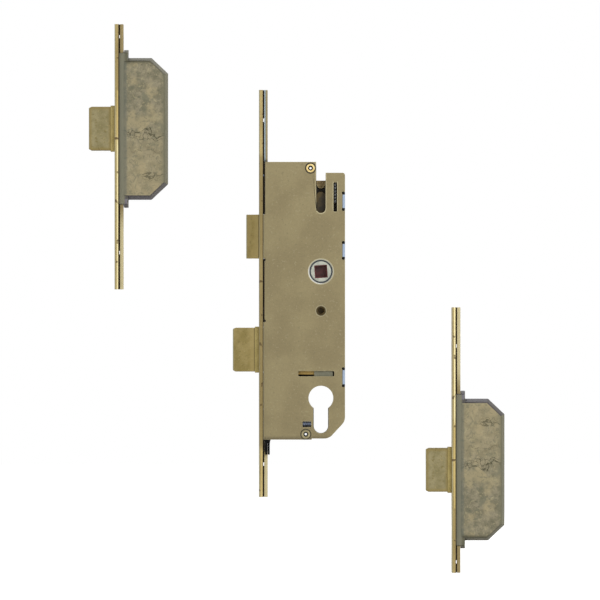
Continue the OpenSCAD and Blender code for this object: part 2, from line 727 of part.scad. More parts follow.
// Latch head, bevelled in two stages towards the viewer
module latch_bolt() {
  tip = face_x - latch_out;
  mid = face_x - latch_out / 2;
  y = bolt_t / 2;
  color(brass_tone) difference() {
    translate([0, 0, latch_low]) linear_extrude(latch_h)
      polygon([[latch_back, -y], [latch_back, y], [tip + 1, y], [tip, y - 1], [tip, y - 2],
        [mid, -y / 2], [face_x - 0.8, -y]]);
    rod_x(latch_back - 5, latch_back + 1, latch_rod_z, latch_rod_d + 0.1);
  }
}
// Tail rod with the ring that stops the latch at rest
module latch_tail() {
  color(zinc_grey) {
    rod_x(latch_back - 4.8, guide_x + guide_t + stop_ring_t + 0.3, latch_rod_z, latch_rod_d);
    rod_x(guide_x + guide_t + 0.1, guide_x + guide_t + 0.1 + stop_ring_t,
      latch_rod_z, latch_rod_d + 3);
  }
}
module latch_spring() {
  color(spring_steel) translate([latch_back + 0.1, 0, latch_rod_z]) rotate([0, 90, 0])
    wire_spring(guide_x - latch_back - 0.2, latch_rod_d + 2.6, latch_wire, 8);
}
// Bracket across the case that guides the tail rod
module latch_guide() {
  color(zinc_grey) difference() {
    block(guide_x, guide_x + guide_t, -inner, inner, latch_rod_z - 5, latch_rod_z + 6);
    rod_x(guide_x - 1, guide_x + guide_t + 1, latch_rod_z, latch_rod_d + 2 * slide_gap);
  }
}

// Block of a bolt from x0 back to x1, its nose chamfered all round
module bolt_block(x0, x1, z) {
  h = bolt_half;
  w = bolt_t / 2;
  c = bolt_chamfer;
  translate([0, 0, z]) intersection() {
    plate_y(-w, w)
      polygon([[x0, -h + c / 2], [x0 + c, -h], [x1, -h], [x1, h], [x0 + c, h], [x0, h - c / 2]]);
    translate([0, 0, -h]) linear_extrude(2 * h)
      polygon([[x0, -w + c / 2], [x0 + c, -w], [x1, -w], [x1, w], [x0 + c, w], [x0, w - c / 2]]);
  }
}
dead_rivets = [for (z = [1.5, -9.5]) [dead_back - 5, z - deadbolt_z]];
module deadbolt() {
  color(brass_tone) difference() {
    bolt_block(face_x - travel, dead_back, -deadbolt_z);
    block(tail_front, dead_back + 1, -bolt_t / 2 - 1, tail_y + tail_t, tail_notch, tail_top + 0.3);
    for (p = dead_rivets) rod_y(p.x, p.y, -bolt_t, bolt_t, rivet_d + 0.1);
  }
}
// Tail plate with its guide slot and the notch that the cylinder's cam enters
module deadbolt_tail() {
  color(brass_tone) plate_y(tail_y, tail_y + tail_t) difference() {
    polygon([[tail_front + 0.1, tail_top], [tail_end, tail_top], [tail_end, tail_foot],
      [tail_end - 1.8, tail_foot], [tail_end - 1.8, tail_notch], [-16.8, tail_notch],
      [-16.8, tail_foot], [-21, tail_foot], [-24, dead_low + 0.4],
      [tail_front + 0.1, dead_low + 0.4]]);
    translate([-post_x, post_z]) rotate(90)
      slot2d(post_d + 0.6, -post_d / 2 - 0.3, travel + post_d / 2 + 0.3);
    for (p = dead_rivets) translate(p) circle(d = rivet_d + 0.1);
  }
}
module deadbolt_rivets() {
  color(zinc_grey) for (p = dead_rivets) rod_y(p.x, p.y, tail_y, bolt_t / 2 - 0.5, rivet_d);
}
module deadbolt_collar() { color(steel_olive) translate([face_x, 0, 0]) collar(-deadbolt_z); }

// Tumbler plate, seen in the case's level slot, lifted by the cylinder's cam
module tumbler() {
  color("#83868a") plate_y(tumbler_y, tumbler_y + tumbler_t) difference() {
    polygon([[-tumbler_half, tumbler_top], [tumbler_half, tumbler_top],
      [tumbler_half, -tumbler_shoulder], [tumbler_foot_x[1], -tumbler_shoulder - 2],
      [tumbler_foot_x[1], -tumbler_foot], [tumbler_foot_x[0], -tumbler_foot],
      [tumbler_foot_x[0], -tumbler_shoulder - 1], [-tumbler_half, -tumbler_shoulder + 0.5]]);
    for (x = [-post_x, post_x]) translate([x, 0])
      slot2d(post_d + 0.4, post_z - tumbler_lift - post_d / 2 - 0.2, post_z + post_d / 2 + 0.2);
  }
}
module tumbler_spring() {
  h = tumbler_stop_z - tumbler_top - 0.2;
  color(spring_steel) translate([0, tumbler_y + tumbler_t / 2, tumbler_top + 0.1])
    wire_spring(h, 2.8, tumbler_wire, 6);
}
// Post between the plates that guides tumbler and tail, and a short one on the cover
// that the tail passes behind
module tumbler_posts() {
  color(zinc_grey) {
    rod_y(-post_x, post_z, -inner, inner, post_d);
    rod_y(post_x, post_z, -inner, tail_y - slide_gap, post_d);
  }
}
module tumbler_spring_stop() {
  color(zinc_grey) block(-3, 3, -inner, inner, tumbler_stop_z, tumbler_stop_z + 3);
}

// Spring over the lever plunger, seen in the case's upright slot
module lever_spring() {
  color(spring_steel) translate([lever_x, lever_y, plunger_top + 0.1])
    wire_spring(lever_seat - plunger_top - 0.2, lever_coil_d, lever_wire, 13);
}
module lever_plunger() {
  r = 0.8;
  color(zinc_grey) plate_y(lever_y - plunger_half_t, lever_y + plunger_half_t)
    translate([lever_x, 0]) rrect2d(-plunger_half_w, plunger_half_w, plunger_low, plunger_top, r);
}
// Pin that keeps the spring straight, hung from the lobe's top
module lever_spring_pin() {
  color(zinc_grey) translate([lever_x, lever_y, lever_seat - lever_pin_l])
    cylinder(h = lever_pin_l, d = lever_coil_d - 2 * lever_wire - 0.8);
}
// Dark bracket that guides the plunger, with a round-topped upright behind the handle slot
module plunger_guide() {
  half = plunger_half_w + slide_gap;
  back = lever_y + plunger_half_t + slide_gap;
  upright = handle_slot_w / 2 + 0.2;
  color(dark_brown) difference() {
    union() {
      plate_y(back, inner) {
        translate([0, upright_top - upright]) circle(r = upright);
        translate([-upright, upright_low])
          square([2 * upright, upright_top - upright - upright_low]);
      }
      block(4, case_back - sheet, -inner + 0.1, inner, guide_low, guide_top);
      block(0, 5, back, inner, upright_low, guide_top);
    }
    block(lever_x - half, lever_x + half, -inner - 1, back, guide_low - 1, guide_top + 1);
  }
}

// Strip pieces of one section, its bolt centre on z = 0 and its faceplate front on x = 0
module section_faceplate(up, down, door_holes) {
  color(steel_edge) difference() {
    strip(0, down, up);
    strip_holes(0, door_holes, [box_screw_z, -box_screw_z]);
    collar_hole(0);
  }
}
module section_rail(up, down, door_holes) {
  x = strip_t + rail_gap;
  color(rail_beige) plate_x(x, x + rail_t) difference() {
    translate([-rail_w / 2, -down]) square([rail_w, up + down]);
    rail_window(-bolt_half, bolt_half);
    for (z = concat(door_holes, [box_screw_z, -box_screw_z])) rail_slot(z, rail_slot_w);
    for (z = carrier_rivet_z) translate([0, z]) circle(d = rivet_d + 0.1);
  }
}
// Side view of a box, drawn e inside every edge but the front
function box_points(e) =
  let (x = box_depth - e, h = box_half - e, slope = atan2(box_chamfer_z, box_chamfer_x),
       front = strip_t + seat_gap, cx = box_depth - box_chamfer_x - e * tan(slope / 2),
       cz = box_half - box_chamfer_z - e * tan(45 - slope / 2))
  [[front, -h], [cx, -h], [x, -cz], [x, cz], [cx, h], [front, h]];
box_inner = inner;                      // the rail's channel is as wide as the case's
box_front_y = -box_inner - box_wall;
box_cover_t = sheet;
// Cast box: rounded and drafted outside, open at the back, with a stepped flange and a tab at each end
module box_casing() {
  front = strip_t + seat_gap;
  c = box_round;
  face = box_front_y;
  step_y = face + box_step;
  boss = box_screw_z - 4.2;
  color(cast_olive) difference() {
    union() {
      hull() {
        plate_y(box_inner - 0.2, box_inner) polygon(box_points(0));
        plate_y(face + c, face + c + 0.1) polygon(box_points(box_draft));
        plate_y(face + 0.3 * c, face + 0.3 * c + 0.1) polygon(box_points(box_draft + 0.3 * c));
        plate_y(face, face + 0.1) polygon(box_points(box_draft + c));
      }
      for (s = [-1, 1]) hull() {
        tab_slice(s, box_inner - 0.2, box_inner, 0);
        tab_slice(s, step_y + 1, step_y + 1.2, box_draft);
        tab_slice(s, step_y, step_y + 0.1, box_draft + 0.7);
      }
    }
    difference() {
      hull() {
        plate_y(-box_inner, -box_inner + 0.1) polygon(box_points(box_draft + box_wall));
        plate_y(box_inner, box_inner + 1) polygon(box_points(box_wall));
      }
      for (s = [-1, 1])
        block(front - 1, box_tab_x, -box_inner - 1, box_inner + 2,
          s > 0 ? boss : -box_tab_half, s > 0 ? box_tab_half : -boss);
      for (p = cover_screw_points) rod_y(p.x, p.y, -box_inner - 1, box_inner, 6.8);
    }
    translate([0, 0, -box_tab_half - 1]) linear_extrude(2 * box_tab_half + 2)
      polygon([[front - 1, face - 1], [box_step_x + 1.8, face - 1], [box_step_x + 1.8, face],
        [box_step_x, step_y], [front - 1, step_y]]);
    block(front - 1, strip_t + rail_gap + rail_t + run_gap, -box_inner, box_inner + 1,
      -box_tab_half - 1, box_tab_half + 1);
    for (s = [-1, 1]) rod_x(front - 1, box_tab_x + 1, s * box_screw_z, screw_d + 0.1);
    for (p = cover_screw_points) rod_y(p.x, p.y, -1, box_inner + 1, cover_screw_d + 0.1);
  }
}
module tab_slice(s, y0, y1, e) {
  x = strip_t + seat_gap;
  z = s > 0 ? box_half - 4 : -box_tab_half + e;
  plate_y(y0, y1) translate([x, z]) square([box_tab_x - x - e / 3, box_tab_half - box_half + 4 - e]);
}
cover_screw_points = [for (s = [-1, 1]) [box_depth - 12.5, s * (box_half - 6.5)]];
// Sheet over the open back of the box
module box_cover() {
  color(zinc_grey) plate_y(box_inner, box_inner + box_cover_t) difference() {
    polygon(box_points(0.3));
    for (p = cover_screw_points) translate(p) circle(d = cover_screw_d + 0.7);
  }
}
module cover_screws() {
  top = box_inner + box_cover_t;
  color(zinc_grey) for (p = cover_screw_points) difference() {
    union() {
      rod_y(p.x, p.y, 0, top + 0.1, cover_screw_d);
      rod_y(p.x, p.y, top, top + cover_head_h, cover_head_d);
    }
    for (a = [0, 90]) translate([p.x, top + cover_head_h - 0.6, p.y]) rotate([0, a, 0])
      block(-1.4, 1.4, 0, 1, -0.3, 0.3);
  }
}
carrier_gap = 0.2;
// U-shaped carrier on the rail: each cheek has a slanted slot for the bolt's cross pin
module cam_carrier() {
  x = strip_t + rail_gap + rail_t;
  y0 = bolt_t / 2 + carrier_gap;
  y1 = rail_w / 2;
  slot = bolt_pin_d + 0.3;
  color(zinc_grey) difference() {
    union() {
      for (s = [-1, 1]) translate([0, s * (y0 + y1) / 2, 0]) plate_y(-(y1 - y0) / 2, (y1 - y0) / 2)
        polygon([[x, carrier_top], [x + 5, carrier_top], [pin_x + 9, 8],
          [pin_x + travel + 4, 0.5 - travel], [pin_x + travel + 4, -travel - 4],
          [pin_x + travel - 4, -travel - 4.5], [x + 2, -8], [x, -8]]);
      block(x, x + 2, -y1, y1, carrier_web, carrier_top);
    }
    plate_y(-y1 - 1, y1 + 1) translate([pin_x, 0]) rotate(-45) {
      circle(d = slot);
      translate([travel * sqrt(2), 0]) circle(d = slot);
      translate([0, -slot / 2]) square([travel * sqrt(2), slot]);
    }
    for (z = carrier_rivet_z) rod_x(x - 1, x + 3, z, rivet_d + 0.1);
  }
}
module carrier_rivets() {
  x = strip_t + rail_gap;
  color(zinc_grey) for (z = carrier_rivet_z) {
    rod_x(x, x + rail_t + 2, z, rivet_d);
    rod_x(x + rail_t + 2, x + rail_t + 3, z, rivet_d + 1.6);
  }
}
module box_bolt() {
  color("#8f835a") difference() {
    bolt_block(-travel + 0.2, -travel + 0.2 + box_bolt_l, 0);
    rod_y(pin_x, 0, -bolt_t, bolt_t, bolt_pin_d + 0.05);
  }
}
module bolt_pin() { color(zinc_grey) rod_y(pin_x, 0, -rail_w / 2, rail_w / 2, bolt_pin_d); }
module box_screws() {
  color(zinc_grey) for (s = [-1, 1])
    csk_screw(0, box_tab_x - 0.4, s * box_screw_z, screw_d, screw_head_d);
}
module at_upper() { translate([-upper_section_x, 0, upper_section_z]) children(); }
module at_lower() { translate([lower_section_x, 0, -lower_section_z]) children(); }
upper_door_holes = [box_door_outer, -box_door_inner];
lower_door_holes = [box_door_inner, -box_door_outer];
module upper_faceplate() {
  at_upper() section_faceplate(upper_strip_up, upper_strip_down, upper_door_holes);
}
module upper_rail() {
  at_upper() section_rail(upper_strip_up, upper_strip_down, upper_door_holes);
}
module lower_faceplate() {
  at_lower() section_faceplate(lower_strip_up, lower_strip_down, lower_door_holes);
}
module lower_rail() {
  at_lower() section_rail(lower_strip_up, lower_strip_down, lower_door_holes);
}

centre_faceplate();
centre_rail();
case_tray();
case_cover();
case_rivet_upper();
case_rivet_lower();
rail_guide();
fixing_blocks();
case_screws();
cylinder_screw();
handle_post();
follower();
follower_sleeve();
drive_slide();
drive_slide_rivets();
latch_bolt();
latch_tail();
latch_spring();
latch_guide();
deadbolt();
deadbolt_tail();
deadbolt_rivets();
deadbolt_collar();
tumbler();
tumbler_spring();
tumbler_posts();
tumbler_spring_stop();
lever_spring();
lever_plunger();
lever_spring_pin();
plunger_guide();
upper_faceplate();
upper_rail();
at_upper() box_casing();  // upper_box_casing
at_upper() box_cover();  // upper_box_cover
at_upper() cover_screws();  // upper_cover_screws
at_upper() cam_carrier();  // upper_cam_carrier
at_upper() carrier_rivets();  // upper_carrier_rivets
at_upper() box_bolt();  // upper_bolt
at_upper() bolt_pin();  // upper_bolt_pin
at_upper() collar(0);  // upper_bolt_collar
at_upper() box_screws();  // upper_box_screws
lower_faceplate();
lower_rail();
at_lower() box_casing();  // lower_box_casing
at_lower() box_cover();  // lower_box_cover
at_lower() cover_screws();  // lower_cover_screws
at_lower() cam_carrier();  // lower_cam_carrier
at_lower() carrier_rivets();  // lower_carrier_rivets
at_lower() box_bolt();  // lower_bolt
at_lower() bolt_pin();  // lower_bolt_pin
at_lower() collar(0);  // lower_bolt_collar
at_lower() box_screws();  // lower_box_screws
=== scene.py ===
import bpy
import json
import math
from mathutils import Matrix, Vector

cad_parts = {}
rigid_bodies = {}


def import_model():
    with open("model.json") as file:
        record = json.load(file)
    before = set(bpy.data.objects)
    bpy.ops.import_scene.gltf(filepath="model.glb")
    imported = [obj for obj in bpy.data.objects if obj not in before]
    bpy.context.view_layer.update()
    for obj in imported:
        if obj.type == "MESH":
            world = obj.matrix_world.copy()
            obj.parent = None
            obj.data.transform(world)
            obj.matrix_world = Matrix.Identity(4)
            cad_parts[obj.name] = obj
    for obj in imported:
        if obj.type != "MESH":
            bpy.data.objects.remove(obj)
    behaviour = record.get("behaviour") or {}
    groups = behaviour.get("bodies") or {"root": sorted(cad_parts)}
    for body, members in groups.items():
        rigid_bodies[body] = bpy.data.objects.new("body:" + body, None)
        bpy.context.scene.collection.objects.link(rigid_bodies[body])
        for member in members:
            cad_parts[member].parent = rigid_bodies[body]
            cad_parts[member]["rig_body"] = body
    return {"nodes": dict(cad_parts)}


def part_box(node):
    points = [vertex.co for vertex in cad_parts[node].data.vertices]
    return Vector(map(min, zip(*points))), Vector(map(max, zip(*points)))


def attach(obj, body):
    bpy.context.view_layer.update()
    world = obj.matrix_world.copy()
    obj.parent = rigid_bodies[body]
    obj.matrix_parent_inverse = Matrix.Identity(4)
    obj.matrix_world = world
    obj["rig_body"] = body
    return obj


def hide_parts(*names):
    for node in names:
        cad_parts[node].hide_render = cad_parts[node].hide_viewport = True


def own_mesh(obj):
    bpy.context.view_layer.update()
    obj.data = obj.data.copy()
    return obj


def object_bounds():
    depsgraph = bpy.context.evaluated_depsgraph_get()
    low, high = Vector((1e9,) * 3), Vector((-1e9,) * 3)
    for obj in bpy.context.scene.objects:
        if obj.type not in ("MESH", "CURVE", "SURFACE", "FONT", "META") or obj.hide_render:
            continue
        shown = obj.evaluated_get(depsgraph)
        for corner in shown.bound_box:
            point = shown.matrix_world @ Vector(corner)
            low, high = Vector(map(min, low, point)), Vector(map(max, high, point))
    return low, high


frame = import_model()
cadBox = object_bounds()
mm = 0.001
bpy.ops.object.select_all(action="DESELECT")


def linearColour(hexValue):
    parts = [int(hexValue[i:i + 2], 16) / 255 for i in (1, 3, 5)]
    return tuple(c / 12.92 if c <= 0.04045 else ((c + 0.055) / 1.055) ** 2.4 for c in parts) + (1.0,)


def addNode(tree, kind, links=None, **settings):
    node = tree.nodes.new(kind)
    for name, value in settings.items():
        setattr(node, name, value)
    for socket, value in (links or {}).items():
        if isinstance(value, bpy.types.NodeSocket):
            tree.links.new(value, node.inputs[socket])
        else:
            node.inputs[socket].default_value = value
    return node


# Camera: a long lens, square on to the case. Lengths in mm, the nearest clipping in metres.
cameraSetup = {"centreX": -15.2, "centreZ": -20.7, "distance": 6000, "frontPlane": -8.5, "frameWidth": 435.6,
               "sensor": 36, "clip": 0.05}


def placeCamera(setup):
    data = bpy.data.cameras.new("camera")
    data.sensor_width = setup["sensor"]
    data.lens = setup["sensor"] * (setup["distance"] + setup["frontPlane"]) / setup["frameWidth"]
    data.clip_start = setup["clip"]
    camera = bpy.data.objects.new("camera", data)
    camera.location = (setup["centreX"] * mm, -setup["distance"] * mm, setup["centreZ"] * mm)
    camera.rotation_euler = (math.radians(90), 0, 0)
    bpy.context.scene.collection.objects.link(camera)
    bpy.context.scene.camera = camera


placeCamera(cameraSetup)
print("camera placed")

# The set's lengths: faceplate front and bolt centre in mm. The lower one is the upper one turned over,
# so its patterns run the other way.
sections = {"centre": (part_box("centre_faceplate")[0][0] / mm, 0, 1)}
for section, way in (("upper", 1), ("lower", -1)):
    stripBox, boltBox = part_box(section + "_faceplate"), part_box(section + "_bolt")
    sections[section] = (stripBox[0][0] / mm, (boltBox[0][2] + boltBox[1][2]) / 2 / mm, way)


# Materials. spot and its axes are in millimetres from the section's own origin. A finish without a specular
# value keeps the shader's own.
def startMaterial(name, finish, section=None):
    material = bpy.data.materials.new(name)
    material.use_nodes = True
    tree = material.node_tree
    tree.nodes.clear()
    shader = addNode(tree, "ShaderNodeBsdfPrincipled", {"Metallic": finish["metallic"],
                                                        "Specular IOR Level": finish.get("specular", 0.5)})
    addNode(tree, "ShaderNodeOutputMaterial", {"Surface": shader.outputs[0]})
    originX, originZ, way = sections[section] if section else (0, 0, 1)
    place = addNode(tree, "ShaderNodeTexCoord").outputs["Object"]
    spot = addNode(tree, "ShaderNodeMapping", {"Vector": place, "Scale": (1 / mm, 1 / mm, way / mm),
                                               "Location": (-originX, 0, -originZ * way)}).outputs[0]
    return material, tree, shader, spot, addNode(tree, "ShaderNodeSeparateXYZ", {0: spot}).outputs


# From nothing where it begins to its share where it is full, and only inside another mask
def fade(tree, value, begins, full, share=1.0, within=None):
    strength = addNode(tree, "ShaderNodeMapRange", {0: value, 1: begins, 2: full, 4: share},
                       interpolation_type="SMOOTHSTEP").outputs[0]
    if within is not None:
        strength = addNode(tree, "ShaderNodeMath", {0: strength, 1: within}, operation="MULTIPLY").outputs[0]
    return strength


# A tint is its colour, the value where it begins, the value where it is full, and its share
def paint(tree, tone, tint, value, within=None):
    colour, begins, full, share = tint
    mask = fade(tree, value, begins, full, share, within)
    return addNode(tree, "ShaderNodeMix", {0: mask, 6: tone, 7: linearColour(colour)}, data_type="RGBA").outputs[2]


# The same tint with its values counted from an origin
def countedFrom(origin, tint):
    colour, begins, full, share = tint
    return colour, origin + begins, origin + full, share


# A band of the value, reach wide to each side of its middle
def band(tree, value, middle, reach, soft, within=None):
    away = addNode(tree, "ShaderNodeMath", {0: value, 1: middle}, operation="SUBTRACT").outputs[0]
    away = addNode(tree, "ShaderNodeMath", {0: away}, operation="ABSOLUTE").outputs[0]
    return fade(tree, away, reach + soft, reach, 1.0, within)


# Distance from a line through the lock, square to the case
def distanceFrom(tree, spot, x, z):
    flat = addNode(tree, "ShaderNodeVectorMath", {0: spot, 1: (1, 0, 1)}, operation="MULTIPLY").outputs[0]
    return addNode(tree, "ShaderNodeVectorMath", {0: flat, 1: (x, 0, z)}, operation="DISTANCE").outputs["Value"]


# Cloud-shaped patches of a size in mm, between two levels of the noise
def patches(tree, spot, size, begins, full, detail=3, distortion=0.0):
    noise = addNode(tree, "ShaderNodeTexNoise", {"Vector": spot, "Scale": 1 / size, "Detail": detail,
                                                 "Distortion": distortion}).outputs[0]
    return fade(tree, noise, begins, full)


def facing(tree):
    normal = addNode(tree, "ShaderNodeNewGeometry").outputs["Normal"]
    return addNode(tree, "ShaderNodeSeparateXYZ", {0: normal}).outputs


# Noise levels where clouds, flecks and pits begin and are full, with the noise's detail; a pit's size against a
# fleck's; the grain's levels; how far the grain moves the roughness; the depth of its relief in metres
mottling = {"cloud": (0.36, 0.64, 5), "fleck": (0.61, 0.72, 2), "pit": (0.39, 0.29, 2), "pitSize": 1.3,
            "grainLow": 0.3, "grainHigh": 0.7, "grainDetail": 2, "roughSwing": 0.05, "relief": 0.0001}


# Cloudy tone, fine grain and small flecks, as passivation leaves on zinc
def mottle(tree, spot, finish):
    cloud = patches(tree, spot, finish["cloudSize"], *mottling["cloud"])
    tone = addNode(tree, "ShaderNodeMix", {0: cloud, 6: linearColour(finish["dark"]), 7: linearColour(finish["light"])},
                   data_type="RGBA").outputs[2]
    grain = addNode(tree, "ShaderNodeTexNoise", {"Vector": spot, "Scale": 1 / finish["grainSize"],
                                                 "Detail": mottling["grainDetail"]}).outputs[0]
    gain = addNode(tree, "ShaderNodeMapRange", {0: grain, 1: mottling["grainLow"], 2: mottling["grainHigh"],
                                                3: 1 - finish["grainShare"], 4: 1 + finish["grainShare"]}).outputs[0]
    tone = addNode(tree, "ShaderNodeVectorMath", {0: tone, "Scale": gain}, operation="SCALE").outputs[0]
    if "fleck" in finish:
        size, share = finish["fleckSize"], finish["fleckShare"]
        tone = paint(tree, tone, (finish["fleck"], 0, 1, share), patches(tree, spot, size, *mottling["fleck"]))
        size *= mottling["pitSize"]
        tone = paint(tree, tone, (finish["pit"], 0, 1, share), patches(tree, spot, size, *mottling["pit"]))
    return tone, grain


def finishSurface(tree, shader, tone, grain, finish):
    tree.links.new(tone, shader.inputs["Base Color"])
    rough = addNode(tree, "ShaderNodeMapRange", {0: grain, 1: mottling["grainLow"], 2: mottling["grainHigh"],
                                                 3: finish["roughness"] - mottling["roughSwing"],
                                                 4: finish["roughness"] + mottling["roughSwing"]}).outputs[0]
    tree.links.new(rough, shader.inputs["Roughness"])
    bump = addNode(tree, "ShaderNodeBump", {"Height": grain, "Strength": finish["bump"],
                                            "Distance": mottling["relief"]})
    tree.links.new(bump.outputs[0], shader.inputs["Normal"])


# Zinc-plated steel sheet, yellow passivated: a dull olive film with fine grain, with painted pale highlights along its
# edges
sheetFinish = {"metallic": 0.3, "roughness": 0.55, "dark": "#8c7f5b", "light": "#978a64", "cloudSize": 24,
               "grainSize": 0.9, "grainShare": 0.07, "fleck": "#a59b78", "pit": "#7f7556", "fleckSize": 1.6,
               "fleckShare": 0.5, "bump": 0.3}
edgeHighlight = "#ded3ab"
coverDetail = {
    # Painted shade at the foot, a painted highlight on the bevels, painted shade in the rivet seats and the hole's
    # dimple
    "foot": ("#665c42", -118.5, -121.9, 0.8), "edge": (edgeHighlight, 0, 1, 0.8), "edgeHighlightLean": (-0.6, 0.28, 0.1),
    "upperSeatShade": ("#2f2a1f", 4.2, 3.95, 1), "upperRivet": (-7.55, 75.1),
    "lowerSeatShade": ("#575039", 4.2, 3.95, 1), "lowerRivet": (-11, -118.2),
    "dimpleShade": ("#4a3c1c", 4.6, 3.3, 0.7), "handleHole": (0, -28.6),
    # Round the follower: a painted highlight ring, and a painted glint on the side of it that catches the light
    "bearingHighlight": ("#c9c6b4", 9.4, 9.0, 0.9), "glint": ("#f6f5ef", 3.0, 6.5, 1), "glintWay": (-0.8, 0, -0.6),
    "glintRing": (9.3, 9.0),
    # Open slots: centre line, half width, foot and top; the painted highlight rim lies a little outside their edge
    "slots": ((0, 3.4, 45.7, 80), (10.4, 1.3, 44.8, 65.2)), "slotRimHighlight": (edgeHighlight, 0, 1, 0.45),
    "rimOutside": 0.25, "rimReach": 0.2, "rimSoft": 0.3, "slotTop": 0.2,
    # Painted highlight along the front edge; painted shade lines along the cylinder hole's sides
    "frontEdgeHighlight": (edgeHighlight, -41.1, -41.6, 0.45),
    "cylinderSlotShade": ("#3f3a2b", 0, 1, 0.7), "cylinderSides": (5.2, 0.25, 0.25), "cylinderStretch": (-104.5, 5.5, 1.0),
}
trayDetail = {
    "frontLean": (-0.4, -0.7), "shadeInCase": ("#1d1a10", 0, 1, 0.95), "rearFace": (7.0, 0.2, 0.1),
    "pad": ("#b59d6c", 0, 1, 1), "padFace": (5.4, 0.2, 0.1), "padCentre": (0, 63.6),
    "padRim": ("#dcc892", 0, 1, 1), "padRimReach": (2.3, 2.9), "padRimTop": (64.0, 63.0),
    "relief": ("#0f0d09", 0, 1, 1), "reliefShadeDepth": (-4.0, 0.6, 0.1), "reliefShadeBack": (15.1, 15.2),
    "zinc": ("#a3b3c8", 0, 1, 1), "tabFront": (-8.44, -8.45), "tabBack": (15.59, 15.6),
}


def passivatedCover(name, finish, detail):
    material, tree, shader, spot, axes = startMaterial(name, finish)
    tone, grain = mottle(tree, spot, finish)
    # painted shade darkens the cover towards its bottom edge
    tone = paint(tree, tone, detail["foot"], axes["Z"])
    # painted highlight on the bevelled edges, found by their normals
    tone = paint(tree, tone, detail["edge"], band(tree, facing(tree)["Y"], *detail["edgeHighlightLean"]))
    # painted shade in the rivets' sunk seats
    for seat, rivet in (("upperSeatShade", "upperRivet"), ("lowerSeatShade", "lowerRivet")):
        tone = paint(tree, tone, detail[seat], distanceFrom(tree, spot, *detail[rivet]))
    # painted shade in the dimple round the handle hole
    tone = paint(tree, tone, detail["dimpleShade"], distanceFrom(tree, spot, *detail["handleHole"]))
    reach = distanceFrom(tree, spot, 0, 0)  # the pale ring round the follower's bearing is a painted highlight
    tone = paint(tree, tone, detail["bearingHighlight"], reach)
    lean = addNode(tree, "ShaderNodeVectorMath", {0: spot, 1: detail["glintWay"]},
                   operation="DOT_PRODUCT").outputs["Value"]
    tone = paint(tree, tone, detail["glint"], lean, fade(tree, reach, *detail["glintRing"]))
    for x, half, foot, top in detail["slots"]:  # a painted pale highlight rims the slots' edges
        across = addNode(tree, "ShaderNodeMath", {0: axes["X"], 1: x}, operation="SUBTRACT").outputs[0]
        below = addNode(tree, "ShaderNodeMath", {0: foot, 1: axes["Z"]}, operation="SUBTRACT").outputs[0]
        below = addNode(tree, "ShaderNodeMath", {0: below, 1: 0.0}, operation="MAXIMUM").outputs[0]
        away = addNode(tree, "ShaderNodeCombineXYZ", {0: across, 2: below}).outputs[0]
        away = addNode(tree, "ShaderNodeVectorMath", {0: away}, operation="LENGTH").outputs["Value"]
        rim = band(tree, away, half + detail["rimOutside"], detail["rimReach"], detail["rimSoft"],
                   fade(tree, axes["Z"], top + detail["slotTop"], top))
        tone = paint(tree, tone, detail["slotRimHighlight"], rim)
    # painted highlight along the front edge
    tone = paint(tree, tone, detail["frontEdgeHighlight"], axes["X"])
    # painted shade lines along the cylinder hole's straight sides
    sides = addNode(tree, "ShaderNodeMath", {0: axes["X"]}, operation="ABSOLUTE").outputs[0]
    line = band(tree, sides, *detail["cylinderSides"], band(tree, axes["Z"], *detail["cylinderStretch"]))
    tone = paint(tree, tone, detail["cylinderSlotShade"], line)
    finishSurface(tree, shader, tone, grain, finish)
    return material


def passivatedTray(name, finish, detail):
    material, tree, shader, spot, axes = startMaterial(name, finish)
    tone, grain = mottle(tree, spot, finish)
    front = fade(tree, facing(tree)["Y"], *detail["frontLean"])
    rear = band(tree, axes["Y"], *detail["rearFace"], front)  # painted shade on the inside of the rear plate
    tone = paint(tree, tone, detail["shadeInCase"], rear)
    # painted light on the pad at the slot's foot, and a painted highlight on its rim
    pad = band(tree, axes["Y"], *detail["padFace"], front)
    tone = paint(tree, tone, detail["pad"], pad)
    rim = distanceFrom(tree, spot, *detail["padCentre"])
    rim = fade(tree, rim, *detail["padRimReach"], 1.0, fade(tree, axes["Z"], *detail["padRimTop"], 1.0, pad))
    tone = paint(tree, tone, detail["padRim"], rim)
    # painted shade in the relief notches
    cut = band(tree, axes["Y"], *detail["reliefShadeDepth"], fade(tree, axes["X"], *detail["reliefShadeBack"]))
    tone = paint(tree, tone, detail["relief"], cut)
    # the peened tabs are sheared ends, so bare blue-white zinc shows
    tab = fade(tree, axes["Y"], *detail["tabFront"], 1.0, fade(tree, axes["X"], *detail["tabBack"]))
    tone = paint(tree, tone, detail["zinc"], tab)
    finishSurface(tree, shader, tone, grain, finish)
    return material


# Rolled steel strip, yellow passivated: golden flanks with a painted highlight line, a painted reflection greying its
# front corners and painted shade towards its back, with a few brown spots, and painted shade on the rib behind it
stripFinish = {"metallic": 0.4, "roughness": 0.42, "dark": "#a08c56", "light": "#b8a46b", "cloudSize": 38,
               "grainSize": 1.1, "grainShare": 0.07, "fleck": "#cbb87d", "pit": "#85744a", "fleckSize": 2.0,
               "fleckShare": 0.4, "bump": 0.2, "flank": (8.9, 9.3), "front": ("#a3a187", 0.85, 0.35, 0.85),
               "back": ("#8c7b4e", 2.2, 2.6, 0.6), "line": (2.05, 0.25, 0.45), "glow": ("#d3bb74", 0, 1, 1),
               "lineHighlightShare": 0.7, "shine": ("#f6e8b0", 0, 1, 1), "dull": ("#76663c", 0, 1, 0.55), "dullSoft": 8,
               "spot": ("#54401f", 0, 1, 0.85), "spotPatches": (4.6, 0.66, 0.74, 1), "rib": ("#3a2d1a", 2.7, 2.8, 1)}
# Each strip's painted highlight line: where its glow begins and is full, and where it clears up and by how much. Then
# the middle and half length of the stretch beside the case that is painted darker.
stripLightAndShade = {"centre": {"glows": (-125, -132), "clears": (-152, -168, 0.4), "dulled": (-22, 102)},
             "upper": {"glows": (29, 27), "clears": (0, -16, 0.95), "dulled": None},
             "lower": {"glows": (29, 27), "clears": (-26, -42, 0.95), "dulled": None}}


